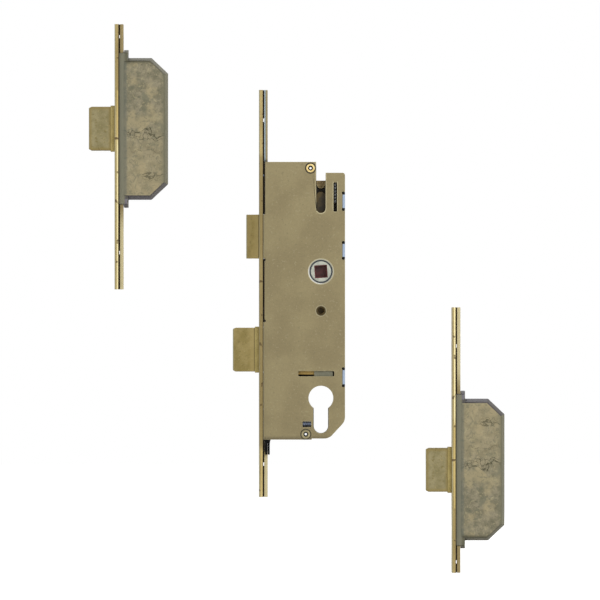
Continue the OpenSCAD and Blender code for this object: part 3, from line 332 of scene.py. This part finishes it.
def passivatedStrip(name, finish, section):
    material, tree, shader, spot, axes = startMaterial(name, finish, section)
    tone, grain = mottle(tree, spot, finish)
    zones = stripLightAndShade[section]
    flank = addNode(tree, "ShaderNodeMath", {0: axes["Y"]}, operation="ABSOLUTE").outputs[0]
    flank = fade(tree, flank, *finish["flank"])
    # a painted reflection greys the front corners, painted shade darkens towards the back
    tone = paint(tree, tone, finish["front"], axes["X"], flank)
    tone = paint(tree, tone, finish["back"], axes["X"], flank)
    # a painted highlight line along each flank
    line = band(tree, axes["X"], *finish["line"], flank)
    tone = paint(tree, tone, finish["glow"], fade(tree, axes["Z"], *zones["glows"], finish["lineHighlightShare"], line))
    tone = paint(tree, tone, finish["shine"], fade(tree, axes["Z"], *zones["clears"], line))
    if zones["dulled"]:
        tone = paint(tree, tone, finish["dull"], band(tree, axes["Z"], *zones["dulled"], finish["dullSoft"]))
    tone = paint(tree, tone, finish["spot"], patches(tree, spot, *finish["spotPatches"]))
    # painted shade on the rib behind the strip
    tone = paint(tree, tone, finish["rib"], axes["X"])
    finishSurface(tree, shader, tone, grain, finish)
    return material


# Cold-rolled drive rail, yellow passivated: beige, with painted edge shade and highlight, and painted shade in the case
railFinish = {"metallic": 0.4, "roughness": 0.42, "dark": "#8c7b50", "light": "#a08e60", "cloudSize": 30,
              "grainSize": 1.0, "grainShare": 0.07, "bump": 0.2, "pale": "#d3c698", "paleShare": 0.85,
              "grey": ("#84826f", 5.6, 5.2, 0.8), "line": ("#a9bcc4", 0, 1, 1), "lineBand": (4.25, 0.3, 0.15),
              "shadeInCase": ("#14120d", 0, 1, 0.9), "shadeInCaseSoft": 4}
# Where each rail turns paler and is palest, where its painted edge shade and highlight begin, and the middle and half
# length of its painted shade in the case
railTones = {"centre": {"pale": (-130, -138), "shadeAndHighlightFrom": (78, 80), "inCase": (-25, 104)},
            "upper": {"pale": (-55, -75), "shadeAndHighlightFrom": None, "inCase": None},
            "lower": {"pale": (-55, -75), "shadeAndHighlightFrom": None, "inCase": None}}


def passivatedRail(name, finish, section):
    material, tree, shader, spot, axes = startMaterial(name, finish, section)
    tone, grain = mottle(tree, spot, finish)
    zones = railTones[section]
    tone = paint(tree, tone, (finish["pale"], *zones["pale"], finish["paleShare"]), axes["Z"])
    if zones["shadeAndHighlightFrom"]:
        # painted shade and a painted highlight line on the edge above the case
        above = fade(tree, axes["Z"], *zones["shadeAndHighlightFrom"])
        tone = paint(tree, tone, finish["grey"], axes["X"], above)
        tone = paint(tree, tone, finish["line"], band(tree, axes["X"], *finish["lineBand"], above))
    if zones["inCase"]:
        # painted shade where the rail runs in the case
        tone = paint(tree, tone, finish["shadeInCase"], band(tree, axes["Z"], *zones["inCase"], finish["shadeInCaseSoft"]))
    finishSurface(tree, shader, tone, grain, finish)
    return material


# Zinc die casting, yellow passivated: grey olive with warm patches and dried drag-out outlines, with painted shade on
# the rounded edges, in the groove and on the drawn walls, and painted highlights along the edges
warmFilm, coolFilm, backShadeTone, endWallShadeTone = "#bcad87", "#7c7d68", "#86836c", "#5b575a"
castFinish = {
    "metallic": 0.1, "roughness": 0.7, "specular": 0.15, "dark": "#87826a", "light": "#a39a80", "cloudSize": 5,
    "grainSize": 1.1, "grainShare": 0.13, "fleck": "#c0b58f", "pit": "#6a6652", "fleckSize": 1.9, "fleckShare": 0.55,
    "bump": 0.45,
    # Tints over patches of the film, from the largest to the finest, and a warmer inner half
    "patches": (((coolFilm, 0, 1, 0.6), (13, 0.5, 0.66, 6)), ((warmFilm, 0, 1, 0.7), (15, 0.46, 0.66, 6))),
    "inner": (warmFilm, 14, -22, 0.42),
    "streaks": (((coolFilm, 0, 1, 0.5), (3.0, 0.53, 0.63, 5, 1.2)),
                (("#c0b58f", 0, 1, 0.45), (4.2, 0.56, 0.68, 5, 1.2))),
    "line": "#54523f", "lineBand": (0.15, 0.75), "linePatches": (0.42, 0.52, 1), "lineStretch": 17,
    "stretchByWave": 0.25,
    "ripple": {"Scale": 1 / 7, "Detail": 3, "Roughness": 0.6, "Distortion": 0.5},
    # From the strip to the back, then the two ends: painted shade on the groove and the rounded edges, painted
    # highlights on the edges
    "grooveShade": ("#7a7d70", 9.8, 8.0, 0.65), "flange": ("#92907b", 6.9, 6.3, 0.8), "body": (6.6, 8.6),
    "backRoundShade": (backShadeTone, 32.4, 36.1, 0.65), "backEdgeHighlight": ("#989582", 37.5, 38.3, 0.8),
    "outerRoundShade": ("#66644f", 45.8, 49.0, 0.8), "innerRimHighlight": ("#b5ab87", 0, 1, 0.6), "innerRimHighlightBand": (-48.1, 0.3, 0.4),
    "innerFaceShade": (endWallShadeTone, -48.6, -49.3, 0.95), "innerEdgeLight": ("#9a95a2", -50.8, -51.6, 0.7),
    # Walls, by the way they face, painted in shade
    "backWallShade": (backShadeTone, 0.3, 0.6, 0.6), "outerWallShade": ("#625f4f", 0.3, 0.6, 0.6),
    "innerWallShade": (endWallShadeTone, -0.3, -0.6, 0.85),
}
# Outlines that ran across the casting: height, waviness, share
dragOut = ((-3.0, 22, 0.8), (-6.5, 26, 0.7), (-33, 20, 0.7), (-35.5, 26, 0.5), (31, 18, 0.6), (-17, 30, 0.45))


def passivatedCasting(name, finish, section):
    material, tree, shader, spot, axes = startMaterial(name, finish, section)
    tone, grain = mottle(tree, spot, finish)
    for tint, where in finish["patches"]:
        tone = paint(tree, tone, tint, patches(tree, spot, *where))
    tone = paint(tree, tone, finish["inner"], axes["Z"])
    for tint, where in finish["streaks"]:
        tone = paint(tree, tone, tint, patches(tree, spot, *where))
    ripple = addNode(tree, "ShaderNodeTexNoise", dict(finish["ripple"], Vector=spot)).outputs[0]
    for height, waves, share in dragOut:
        level = addNode(tree, "ShaderNodeMath", {0: ripple, 1: waves, 2: -waves / 2},
                        operation="MULTIPLY_ADD").outputs[0]
        level = addNode(tree, "ShaderNodeMath", {0: axes["Z"], 1: level}, operation="ADD").outputs[0]
        stretch = finish["lineStretch"] + waves * finish["stretchByWave"]  # wavier outlines break up less often
        where = patches(tree, spot, stretch, *finish["linePatches"])
        tone = paint(tree, tone, (finish["line"], 0, 1, share), band(tree, level, height, *finish["lineBand"], where))
    # painted shade in the groove by the strip
    tone = paint(tree, tone, finish["grooveShade"], axes["X"])
    tone = paint(tree, tone, finish["flange"], axes["X"])
    body = fade(tree, axes["X"], *finish["body"])
    # painted shade on the rounded back edge, and a painted highlight on the edge itself
    tone = paint(tree, tone, finish["backRoundShade"], axes["X"])
    tone = paint(tree, tone, finish["backEdgeHighlight"], axes["X"])
    # painted shade on the rounded outer end
    tone = paint(tree, tone, finish["outerRoundShade"], axes["Z"], body)
    # painted highlight on the inner end's rim, painted shade on the rounding past it, and painted light at the very end
    tone = paint(tree, tone, finish["innerRimHighlight"], band(tree, axes["Z"], *finish["innerRimHighlightBand"], body))
    tone = paint(tree, tone, finish["innerFaceShade"], axes["Z"], body)
    tone = paint(tree, tone, finish["innerEdgeLight"], axes["Z"], body)
    # painted shade on the drawn walls, by the way they face
    walls = facing(tree)
    lean = addNode(tree, "ShaderNodeMath", {0: walls["Z"], 1: sections[section][2]}, operation="MULTIPLY").outputs[0]
    tone = paint(tree, tone, finish["backWallShade"], walls["X"])
    tone = paint(tree, tone, finish["outerWallShade"], lean)
    tone = paint(tree, tone, finish["innerWallShade"], lean)
    finishSurface(tree, shader, tone, grain, finish)
    return material


# Bolts: zinc die cast, yellow passivated and tumbled, golden towards the root and round the rim, with a painted shade
# line at the root. The nose's tint is counted from the tip, the root's and the line's from the front of the strip or
# collar.
boltFinish = {"metallic": 0.35, "roughness": 0.45, "dark": "#87773f", "light": "#988752", "cloudSize": 8,
              "grainSize": 0.8, "grainShare": 0.09, "fleck": "#ab9b66", "pit": "#756634", "fleckSize": 1.5,
              "fleckShare": 0.5, "bump": 0.3, "nose": ("#a39f7e", 0.9, 0.4, 0.8), "root": ("#a6935b", -5.0, -2.2, 0.55),
              "line": ("#6f6238", -0.9, -0.4, 0.7)}
# The latch is a lighter copy of the bolt's finish: painted light that lifts the shade on its slanted face
latchFinish = dict(boltFinish, dark="#9b884c", light="#ab975c")
collarFinish = dict(boltFinish, dark="#99884c", light="#ab9a5e")
# Tip, and front of the strip or collar, in mm
noses = {"latch": (-54.3, -45.0), "deadbolt": (-64.0, -48.0)}
# A box bolt's side: axis, middle and half size of its face, and the rim's tint, counted from the face's edge
boxBoltFinish = dict(boltFinish, dark="#857b52", light="#9a8f68", faces=(("X", -10.5, 8.4), ("Z", 0, 15.9)),
                     rim=("#8c7a42", -3.2, -0.8, 0.75), spot=("#5d4a22", 0, 1, 0.5), spotPatches=(3.1, 0.68, 0.8, 2),
                     # painted shade along the bolt's lower edge
                     line=("#6f6238", -15.2, -15.7, 0.8), nose=("#a39f7e", -18.1, -18.7, 0.6))


def passivatedBolt(name, finish, nose):
    material, tree, shader, spot, axes = startMaterial(name, finish)
    tone, grain = mottle(tree, spot, finish)
    tip, root = noses[nose]
    # the line is painted shade where the bolt meets the strip or collar
    for tint, origin in (("nose", tip), ("root", root), ("line", root)):
        tone = paint(tree, tone, countedFrom(origin, finish[tint]), axes["X"])
    finishSurface(tree, shader, tone, grain, finish)
    return material


def passivatedBoxBolt(name, finish, section):
    material, tree, shader, spot, axes = startMaterial(name, finish, section)
    tone, grain = mottle(tree, spot, finish)
    for axis, middle, reach in finish["faces"]:
        away = addNode(tree, "ShaderNodeMath", {0: axes[axis], 1: -middle}, operation="ADD").outputs[0]
        away = addNode(tree, "ShaderNodeMath", {0: away}, operation="ABSOLUTE").outputs[0]
        tone = paint(tree, tone, countedFrom(reach, finish["rim"]), away)
    tone = paint(tree, tone, finish["spot"], patches(tree, spot, *finish["spotPatches"]))
    # painted shade along the bolt's lower edge
    tone = paint(tree, tone, finish["line"], axes["Z"])
    tone = paint(tree, tone, finish["nose"], axes["X"])
    finishSurface(tree, shader, tone, grain, finish)
    return material


# Round pieces, with a ring's tint counted from their axis.
# Sintered steel follower, ground: light grey face, with painted shade in the groove round it
followerFinish = {"metallic": 0.3, "roughness": 0.45, "dark": "#a9ac9f", "light": "#c0c2b4", "cloudSize": 5,
                  "grainSize": 0.6, "grainShare": 0.05, "bump": 0.2, "ring": ("#343a42", 7.3, 7.5, 1)}
# Tubular rivets: brass-flashed head, or passivated as the case, with painted shade round the mouth
brassRivet = {"metallic": 0.6, "roughness": 0.34, "dark": "#dcc07c", "light": "#edd694", "cloudSize": 3,
              "grainSize": 0.5, "grainShare": 0.05, "bump": 0.1, "ring": ("#34301f", 1.9, 1.6, 1)}
oliveRivet = dict(brassRivet, dark="#8d8361", light="#a59a75", ring=("#4d5349", 1.9, 1.6, 1))


def roundFinish(name, finish, place):
    material, tree, shader, spot, axes = startMaterial(name, finish)
    tone, grain = mottle(tree, spot, finish)
    tone = paint(tree, tone, finish["ring"], distanceFrom(tree, spot, *place))
    finishSurface(tree, shader, tone, grain, finish)
    return material


# One-tone finishes: name, what it is and how it looks
plainFinishes = {
    # Bright zinc plate, clear passivated: cool grey
    "clearZincPlate": {"metallic": 0.5, "roughness": 0.45, "dark": "#7b7e80", "light": "#8a8d8e", "cloudSize": 8,
                       "grainSize": 0.8, "grainShare": 0.08, "bump": 0.2},
    # Tumbler plate, zinc plated and handled: dull olive grey
    "dullZincPlate": {"metallic": 0.3, "roughness": 0.5, "dark": "#74735f", "light": "#858370", "cloudSize": 4,
                      "grainSize": 0.7, "grainShare": 0.1, "bump": 0.2},
    # Blue-white zinc on screws
    "blueZincScrew": {"metallic": 0.7, "roughness": 0.3, "dark": "#8f9ab0", "light": "#b3bfd4", "cloudSize": 4,
                      "grainSize": 0.6, "grainShare": 0.05, "bump": 0.1},
    # Drawn spring wire: nearly black, with a dull sheen
    "springWire": {"metallic": 0.3, "roughness": 0.55, "dark": "#120c0a", "light": "#241a16", "cloudSize": 2,
                   "grainSize": 0.4, "grainShare": 0.06, "bump": 0.1},
    # Deadbolt tail, yellow passivated: golden brass tone
    "yellowPlate": {"metallic": 0.4, "roughness": 0.4, "dark": "#8f7436", "light": "#ac8e4a", "cloudSize": 4,
                    "grainSize": 0.6, "grainShare": 0.08, "bump": 0.2},
    # The handle hole's post: dark brown, standing in as painted shade deep in the hole
    "holeShadeBrown": {"metallic": 0.2, "roughness": 0.5, "dark": "#4a390c", "light": "#5c4812", "cloudSize": 5,
                       "grainSize": 0.7, "grainShare": 0.08, "bump": 0.3},
    # The spring's bracket behind the open slot: the same, darkened with painted shade
    "shadedBracket": {"metallic": 0.2, "roughness": 0.5, "dark": "#2c2309", "light": "#5c4a1c", "cloudSize": 7,
                       "grainSize": 0.7, "grainShare": 0.08, "bump": 0.3},
    # Moulded black acetal guide: dull, faintly grained
    "blackAcetal": {"metallic": 0.0, "roughness": 0.7, "specular": 0.1, "dark": "#060605", "light": "#0d0c0b",
                    "cloudSize": 4, "grainSize": 0.5, "grainShare": 0.1, "bump": 0.2},
    # Moulded red nylon sleeve: deep red, semi-matt
    "redNylon": {"metallic": 0.0, "roughness": 0.45, "dark": "#4c1110", "light": "#611918", "cloudSize": 3,
                 "grainSize": 0.5, "grainShare": 0.12, "bump": 0.2},
}


def plainFinish(name, finish):
    material, tree, shader, spot, axes = startMaterial(name, finish)
    tone, grain = mottle(tree, spot, finish)
    finishSurface(tree, shader, tone, grain, finish)
    return material


materials = {name: plainFinish(name, finish) for name, finish in plainFinishes.items()}
materials["cover"] = passivatedCover("yellowZincCover", sheetFinish, coverDetail)
materials["tray"] = passivatedTray("yellowZincTray", sheetFinish, trayDetail)
materials["follower"] = roundFinish("sinteredSteel", followerFinish, (0, 0))
materials["brassRivet"] = roundFinish("brassRivet", brassRivet, coverDetail["upperRivet"])
materials["oliveRivet"] = roundFinish("oliveRivet", oliveRivet, coverDetail["lowerRivet"])
materials["latch"] = passivatedBolt("yellowZincLatch", latchFinish, "latch")
materials["deadbolt"] = passivatedBolt("yellowZincDeadbolt", boltFinish, "deadbolt")
materials["collar"] = plainFinish("yellowZincCollar", collarFinish)
for section in sections:
    materials[section + "Strip"] = passivatedStrip(section + "YellowStrip", stripFinish, section)
    materials[section + "Rail"] = passivatedRail(section + "YellowRail", railFinish, section)
    if section != "centre":
        materials[section + "Casting"] = passivatedCasting(section + "Casting", castFinish, section)
        materials[section + "Bolt"] = passivatedBoxBolt(section + "CastBolt", boxBoltFinish, section)
print("materials made:", len(materials))

# Solids that keep their shape: node, width of the broken edges in mm (0 leaves them sharp), material
edgeWork = {
    "centre_faceplate": (0.15, "centreStrip"), "centre_rail": (0.2, "centreRail"), "case_tray": (0.2, "tray"),
    "case_cover": (0.2, "cover"), "case_rivet_upper": (0.25, "brassRivet"), "case_rivet_lower": (0.25, "oliveRivet"),
    "rail_guide": (0.2, "blackAcetal"), "fixing_blocks": (0.3, "clearZincPlate"),
    "case_screws": (0.12, "blueZincScrew"), "handle_post": (0.3, "holeShadeBrown"),
    "follower": (0, "follower"), "follower_sleeve": (0, "redNylon"),
    "drive_slide": (0.2, "clearZincPlate"), "drive_slide_rivets": (0.2, "clearZincPlate"), "latch_bolt": (0.4, "latch"),
    "latch_tail": (0.2, "clearZincPlate"), "latch_guide": (0.2, "clearZincPlate"), "deadbolt": (0.4, "deadbolt"),
    "deadbolt_tail": (0.2, "yellowPlate"), "deadbolt_rivets": (0.2, "clearZincPlate"),
    "deadbolt_collar": (0.15, "collar"),
    "tumbler": (0.2, "dullZincPlate"), "tumbler_posts": (0.2, "clearZincPlate"),
    "tumbler_spring_stop": (0.2, "clearZincPlate"), "lever_plunger": (0.2, "clearZincPlate"),
    "lever_spring_pin": (0.2, "clearZincPlate"), "plunger_guide": (0.2, "shadedBracket"),
}
for section in ("upper", "lower"):
    edgeWork.update({
        section + "_faceplate": (0.15, section + "Strip"), section + "_rail": (0.2, section + "Rail"),
        section + "_box_casing": (0.4, section + "Casting"), section + "_box_cover": (0, "clearZincPlate"),
        section + "_cover_screws": (0.12, "blueZincScrew"), section + "_cam_carrier": (0.2, "clearZincPlate"),
        section + "_carrier_rivets": (0.2, "clearZincPlate"), section + "_bolt": (0.4, section + "Bolt"),
        section + "_bolt_pin": (0.2, "blueZincScrew"), section + "_bolt_collar": (0.15, "collar"),
        section + "_box_screws": (0.12, "blueZincScrew"),
    })
# Merging distances in metres for copied and wound meshes, and angles in degrees
meshCare = {"merge": 0.000002, "windMerge": 0.000001, "flat": 0.3, "bevelFrom": 30, "bevelSegments": 2,
            "smooth": 35, "smoothCoil": 50}


def takePlace(piece, node, material):
    piece.data.materials.clear()
    piece.data.materials.append(materials[material])
    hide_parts(node)
    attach(piece, frame["nodes"][node]["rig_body"])


# A merged copy of a node's mesh, its flat faces joined
def copyNode(node):
    piece = bpy.data.objects.new(node + "_finished", frame["nodes"][node].data.copy())
    bpy.context.scene.collection.objects.link(piece)
    bpy.ops.object.select_all(action="DESELECT")
    piece.select_set(True)
    bpy.context.view_layer.objects.active = piece
    bpy.ops.object.mode_set(mode="EDIT")
    bpy.ops.mesh.select_all(action="SELECT")
    bpy.ops.mesh.remove_doubles(threshold=meshCare["merge"])
    bpy.ops.mesh.dissolve_limited(angle_limit=math.radians(meshCare["flat"]))
    bpy.ops.object.mode_set(mode="OBJECT")
    return piece


def breakEdges(node, width, material):
    piece = copyNode(node)
    if width:
        bevel = piece.modifiers.new("edges", "BEVEL")
        bevel.width = width * mm
        bevel.segments = meshCare["bevelSegments"]
        bevel.limit_method = "ANGLE"
        bevel.angle_limit = math.radians(meshCare["bevelFrom"])
        bevel.use_clamp_overlap = False
        bpy.ops.object.modifier_apply(modifier="edges")
    bpy.ops.object.shade_smooth_by_angle(angle=math.radians(meshCare["smooth"]))
    flat = piece.modifiers.new("faces", "WEIGHTED_NORMAL")
    flat.keep_sharp = True
    bpy.ops.object.modifier_apply(modifier="faces")
    piece.select_set(False)
    takePlace(piece, node, material)


for node, (width, material) in edgeWork.items():
    breakEdges(node, width, material)
print("solids finished:", len(edgeWork))

# The rolled rib behind each strip all but touches the rail, so no light shows between them
ribRise = {"from": 3.3, "halfWidth": 2.3, "rise": 0.16}
for section, (faceX, boltZ, way) in sections.items():
    strip = bpy.data.objects[section + "_faceplate_finished"]
    for point in strip.data.vertices:
        if point.co.x > (faceX + ribRise["from"]) * mm and abs(point.co.y) < ribRise["halfWidth"] * mm:
            point.co.x += ribRise["rise"] * mm

# Springs wound from one wire: the joint that presses it, its axis, centre line, coil, wire, turns, and what is
# left of its length when pressed
springs = {
    "latch_spring": {"joint": "latch_slide", "along": "X", "centre": (0, 29.0), "coil": 7.6, "wire": 0.9, "turns": 8,
                     "keep": 12.4 / 21.7},
    "tumbler_spring": {"joint": "tumbler_lift", "along": "Z", "centre": (0, -5.3), "coil": 2.8, "wire": 0.5, "turns": 6,
                       "keep": 8.0 / 11.0},
    "lever_spring": {"joint": "plunger_lift", "along": "Z", "centre": (10.4, -4), "coil": 5.0, "wire": 0.8, "turns": 13,
                     "keep": 26.0 / 32.0},
}
coilMesh = {"wireSides": 10, "stepsPerTurn": 24}


# Winds a ring round the Z axis into a closed coil and leaves the piece ready to be placed
def windRing(name, ring, radius, section, pitch, turns, steps):
    bpy.ops.mesh.primitive_circle_add(vertices=ring, radius=section * mm, location=(radius * mm, 0, 0),
                                      rotation=(math.radians(90), 0, 0))
    piece = bpy.context.object
    piece.name = name
    bpy.ops.object.transform_apply(location=True, rotation=True, scale=True)
    wind = piece.modifiers.new("wind", "SCREW")
    wind.angle = math.radians(360)
    wind.screw_offset = pitch
    wind.iterations = turns
    wind.steps = steps
    wind.render_steps = steps
    wind.use_merge_vertices = False
    bpy.ops.object.modifier_apply(modifier="wind")
    bpy.ops.object.mode_set(mode="EDIT")
    bpy.ops.mesh.select_all(action="SELECT")
    bpy.ops.mesh.remove_doubles(threshold=meshCare["windMerge"])
    bpy.ops.mesh.select_all(action="SELECT")
    bpy.ops.mesh.fill_holes(sides=ring + 2)
    bpy.ops.mesh.select_all(action="SELECT")
    bpy.ops.mesh.normals_make_consistent(inside=False)
    bpy.ops.object.mode_set(mode="OBJECT")
    return piece


def windSpring(node, spring):
    low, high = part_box(node)
    along = "XYZ".index(spring["along"])
    half = spring["wire"] / 2
    pitch = (high[along] - low[along] - spring["wire"] * mm) / spring["turns"]
    piece = windRing(node + "_wound", coilMesh["wireSides"], spring["coil"] / 2 - half, half, pitch, spring["turns"],
                     coilMesh["stepsPerTurn"])
    start = low[along] + half * mm
    if spring["along"] == "X":
        piece.rotation_euler = (0, math.radians(90), 0)
        piece.location = (start, spring["centre"][0] * mm, spring["centre"][1] * mm)
    else:
        piece.location = (spring["centre"][0] * mm, spring["centre"][1] * mm, start)
    bpy.ops.object.transform_apply(location=True, rotation=True, scale=True)
    bpy.ops.object.shade_smooth_by_angle(angle=math.radians(meshCare["smoothCoil"]))
    piece.select_set(False)
    takePlace(piece, node, "springWire")
    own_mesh(piece)


for node, spring in springs.items():
    windSpring(node, spring)
print("springs wound")

# Cylinder screw: countersunk head from the solid, and a rolled thread down the shank that the case's window shows.
# In mm, with how far the core runs on into the head.
screwThread = {"axisZ": -110.75, "headEnd": -38.5, "tip": -6.3, "diameter": 5.0, "core": 4.0, "coreSides": 24,
               "sunk": 1, "pitch": 0.8, "ridge": 0.44, "ridgeSides": 3, "stepsPerTurn": 20}


def threadScrew(node, sizes):
    head = copyNode(node)
    bpy.ops.object.mode_set(mode="EDIT")
    bpy.ops.mesh.select_all(action="SELECT")
    bpy.ops.mesh.bisect(plane_co=(sizes["headEnd"] * mm, 0, 0), plane_no=(1, 0, 0), use_fill=True, clear_outer=True)
    bpy.ops.object.mode_set(mode="OBJECT")
    head.select_set(False)
    length = sizes["tip"] - sizes["headEnd"]
    turns = int((length - sizes["ridge"] * 2) / sizes["pitch"])
    ridge = windRing("screw_ridge", sizes["ridgeSides"], sizes["diameter"] / 2 - sizes["ridge"], sizes["ridge"],
                     sizes["pitch"] * mm, turns, sizes["stepsPerTurn"])
    ridge.rotation_euler = (0, math.radians(90), 0)
    ridge.location = ((sizes["headEnd"] + sizes["ridge"]) * mm, 0, sizes["axisZ"] * mm)
    bpy.ops.object.transform_apply(location=True, rotation=True, scale=True)
    ridge.select_set(False)
    middle = (sizes["headEnd"] - sizes["sunk"] + sizes["tip"]) / 2
    # the new core stays selected, so it is joined with the ridge and the head
    bpy.ops.mesh.primitive_cylinder_add(vertices=sizes["coreSides"], radius=sizes["core"] / 2 * mm,
                                        depth=(length + sizes["sunk"]) * mm,
                                        location=(middle * mm, 0, sizes["axisZ"] * mm),
                                        rotation=(0, math.radians(90), 0))
    bpy.ops.object.transform_apply(location=True, rotation=True, scale=True)
    for part in (ridge, head):
        part.select_set(True)
    bpy.context.view_layer.objects.active = head
    bpy.ops.object.join()
    bpy.ops.object.shade_smooth_by_angle(angle=math.radians(meshCare["smooth"]))
    head.select_set(False)
    takePlace(head, node, "blueZincScrew")


threadScrew("cylinder_screw", screwThread)
print("cylinder screw threaded")

# Light: soft key from the upper right, fill from the left, soft light on the back. Metres and watts.
aimPoint = (-0.015, 0, -0.02)
lamps = {
    "key": {"place": (0.6, -1.3, 0.45), "size": 0.6, "power": 7.2},
    "fill": {"place": (-0.95, -1.2, 0.05), "size": 0.9, "power": 2.8},
    "back": {"place": (0.1, 1.3, 0.8), "size": 0.9, "power": 7},
}
for name, lamp in lamps.items():
    bpy.ops.object.light_add(type="AREA", location=lamp["place"])
    light = bpy.context.object
    light.name = name
    light.data.energy = lamp["power"]
    light.data.size = lamp["size"]
    reach = [goal - place for goal, place in zip(aimPoint, lamp["place"])]
    light.rotation_euler = (math.atan2(math.hypot(reach[0], reach[1]), -reach[2]), 0,
                            math.atan2(reach[1], reach[0]) - math.radians(90))
    light.select_set(False)
print("lamps placed")

studio = {"ambient": 0.355, "floorDrop": 2.0, "floorHalf": 4.0, "paper": (0.8, 0.8, 0.8, 1), "paperGlow": 0.78}


# White wherever the camera or a reflection sees it, and a dimmer light on everything else
def lightWorld(setup):
    world = bpy.data.worlds.new("studio")
    world.use_nodes = True
    tree = world.node_tree
    tree.nodes.clear()
    path = addNode(tree, "ShaderNodeLightPath").outputs
    seen = addNode(tree, "ShaderNodeMath", {0: path["Is Camera Ray"], 1: path["Is Glossy Ray"]},
                   operation="MAXIMUM").outputs[0]
    seen = addNode(tree, "ShaderNodeMath", {0: seen, 1: path["Is Transmission Ray"]}, operation="MAXIMUM").outputs[0]
    strength = addNode(tree, "ShaderNodeMapRange", {0: seen, 1: 0.0, 2: 1.0, 3: setup["ambient"], 4: 1.0}).outputs[0]
    light = addNode(tree, "ShaderNodeBackground", {"Color": (1, 1, 1, 1), "Strength": strength})
    addNode(tree, "ShaderNodeOutputWorld", {"Surface": light.outputs[0]})
    bpy.context.scene.world = world


def layFloor(setup):
    bpy.ops.mesh.primitive_plane_add(size=setup["floorHalf"] * 2,
                                     location=(0, 0, cadBox[0][2] - setup["floorDrop"] * mm))
    floor = bpy.context.object
    floor.name = "floor"
    material = bpy.data.materials.new("whitePaperSweep")
    material.use_nodes = True
    tree = material.node_tree
    tree.nodes.clear()
    matt = addNode(tree, "ShaderNodeBsdfDiffuse", {"Color": setup["paper"]})
    glow = addNode(tree, "ShaderNodeEmission", {"Color": (1, 1, 1, 1), "Strength": setup["paperGlow"]})
    path = addNode(tree, "ShaderNodeLightPath").outputs
    seen = addNode(tree, "ShaderNodeMath", {0: path["Is Camera Ray"], 1: path["Is Glossy Ray"]},
                   operation="MAXIMUM").outputs[0]
    lit = addNode(tree, "ShaderNodeAddShader", {0: matt.outputs[0], 1: glow.outputs[0]})
    mix = addNode(tree, "ShaderNodeMixShader", {0: seen, 1: matt.outputs[0], 2: lit.outputs[0]})
    addNode(tree, "ShaderNodeOutputMaterial", {"Surface": mix.outputs[0]})
    floor.data.materials.append(material)


lightWorld(studio)
layFloor(studio)
bpy.context.scene.view_settings.view_transform = "Standard"
print("studio lit")
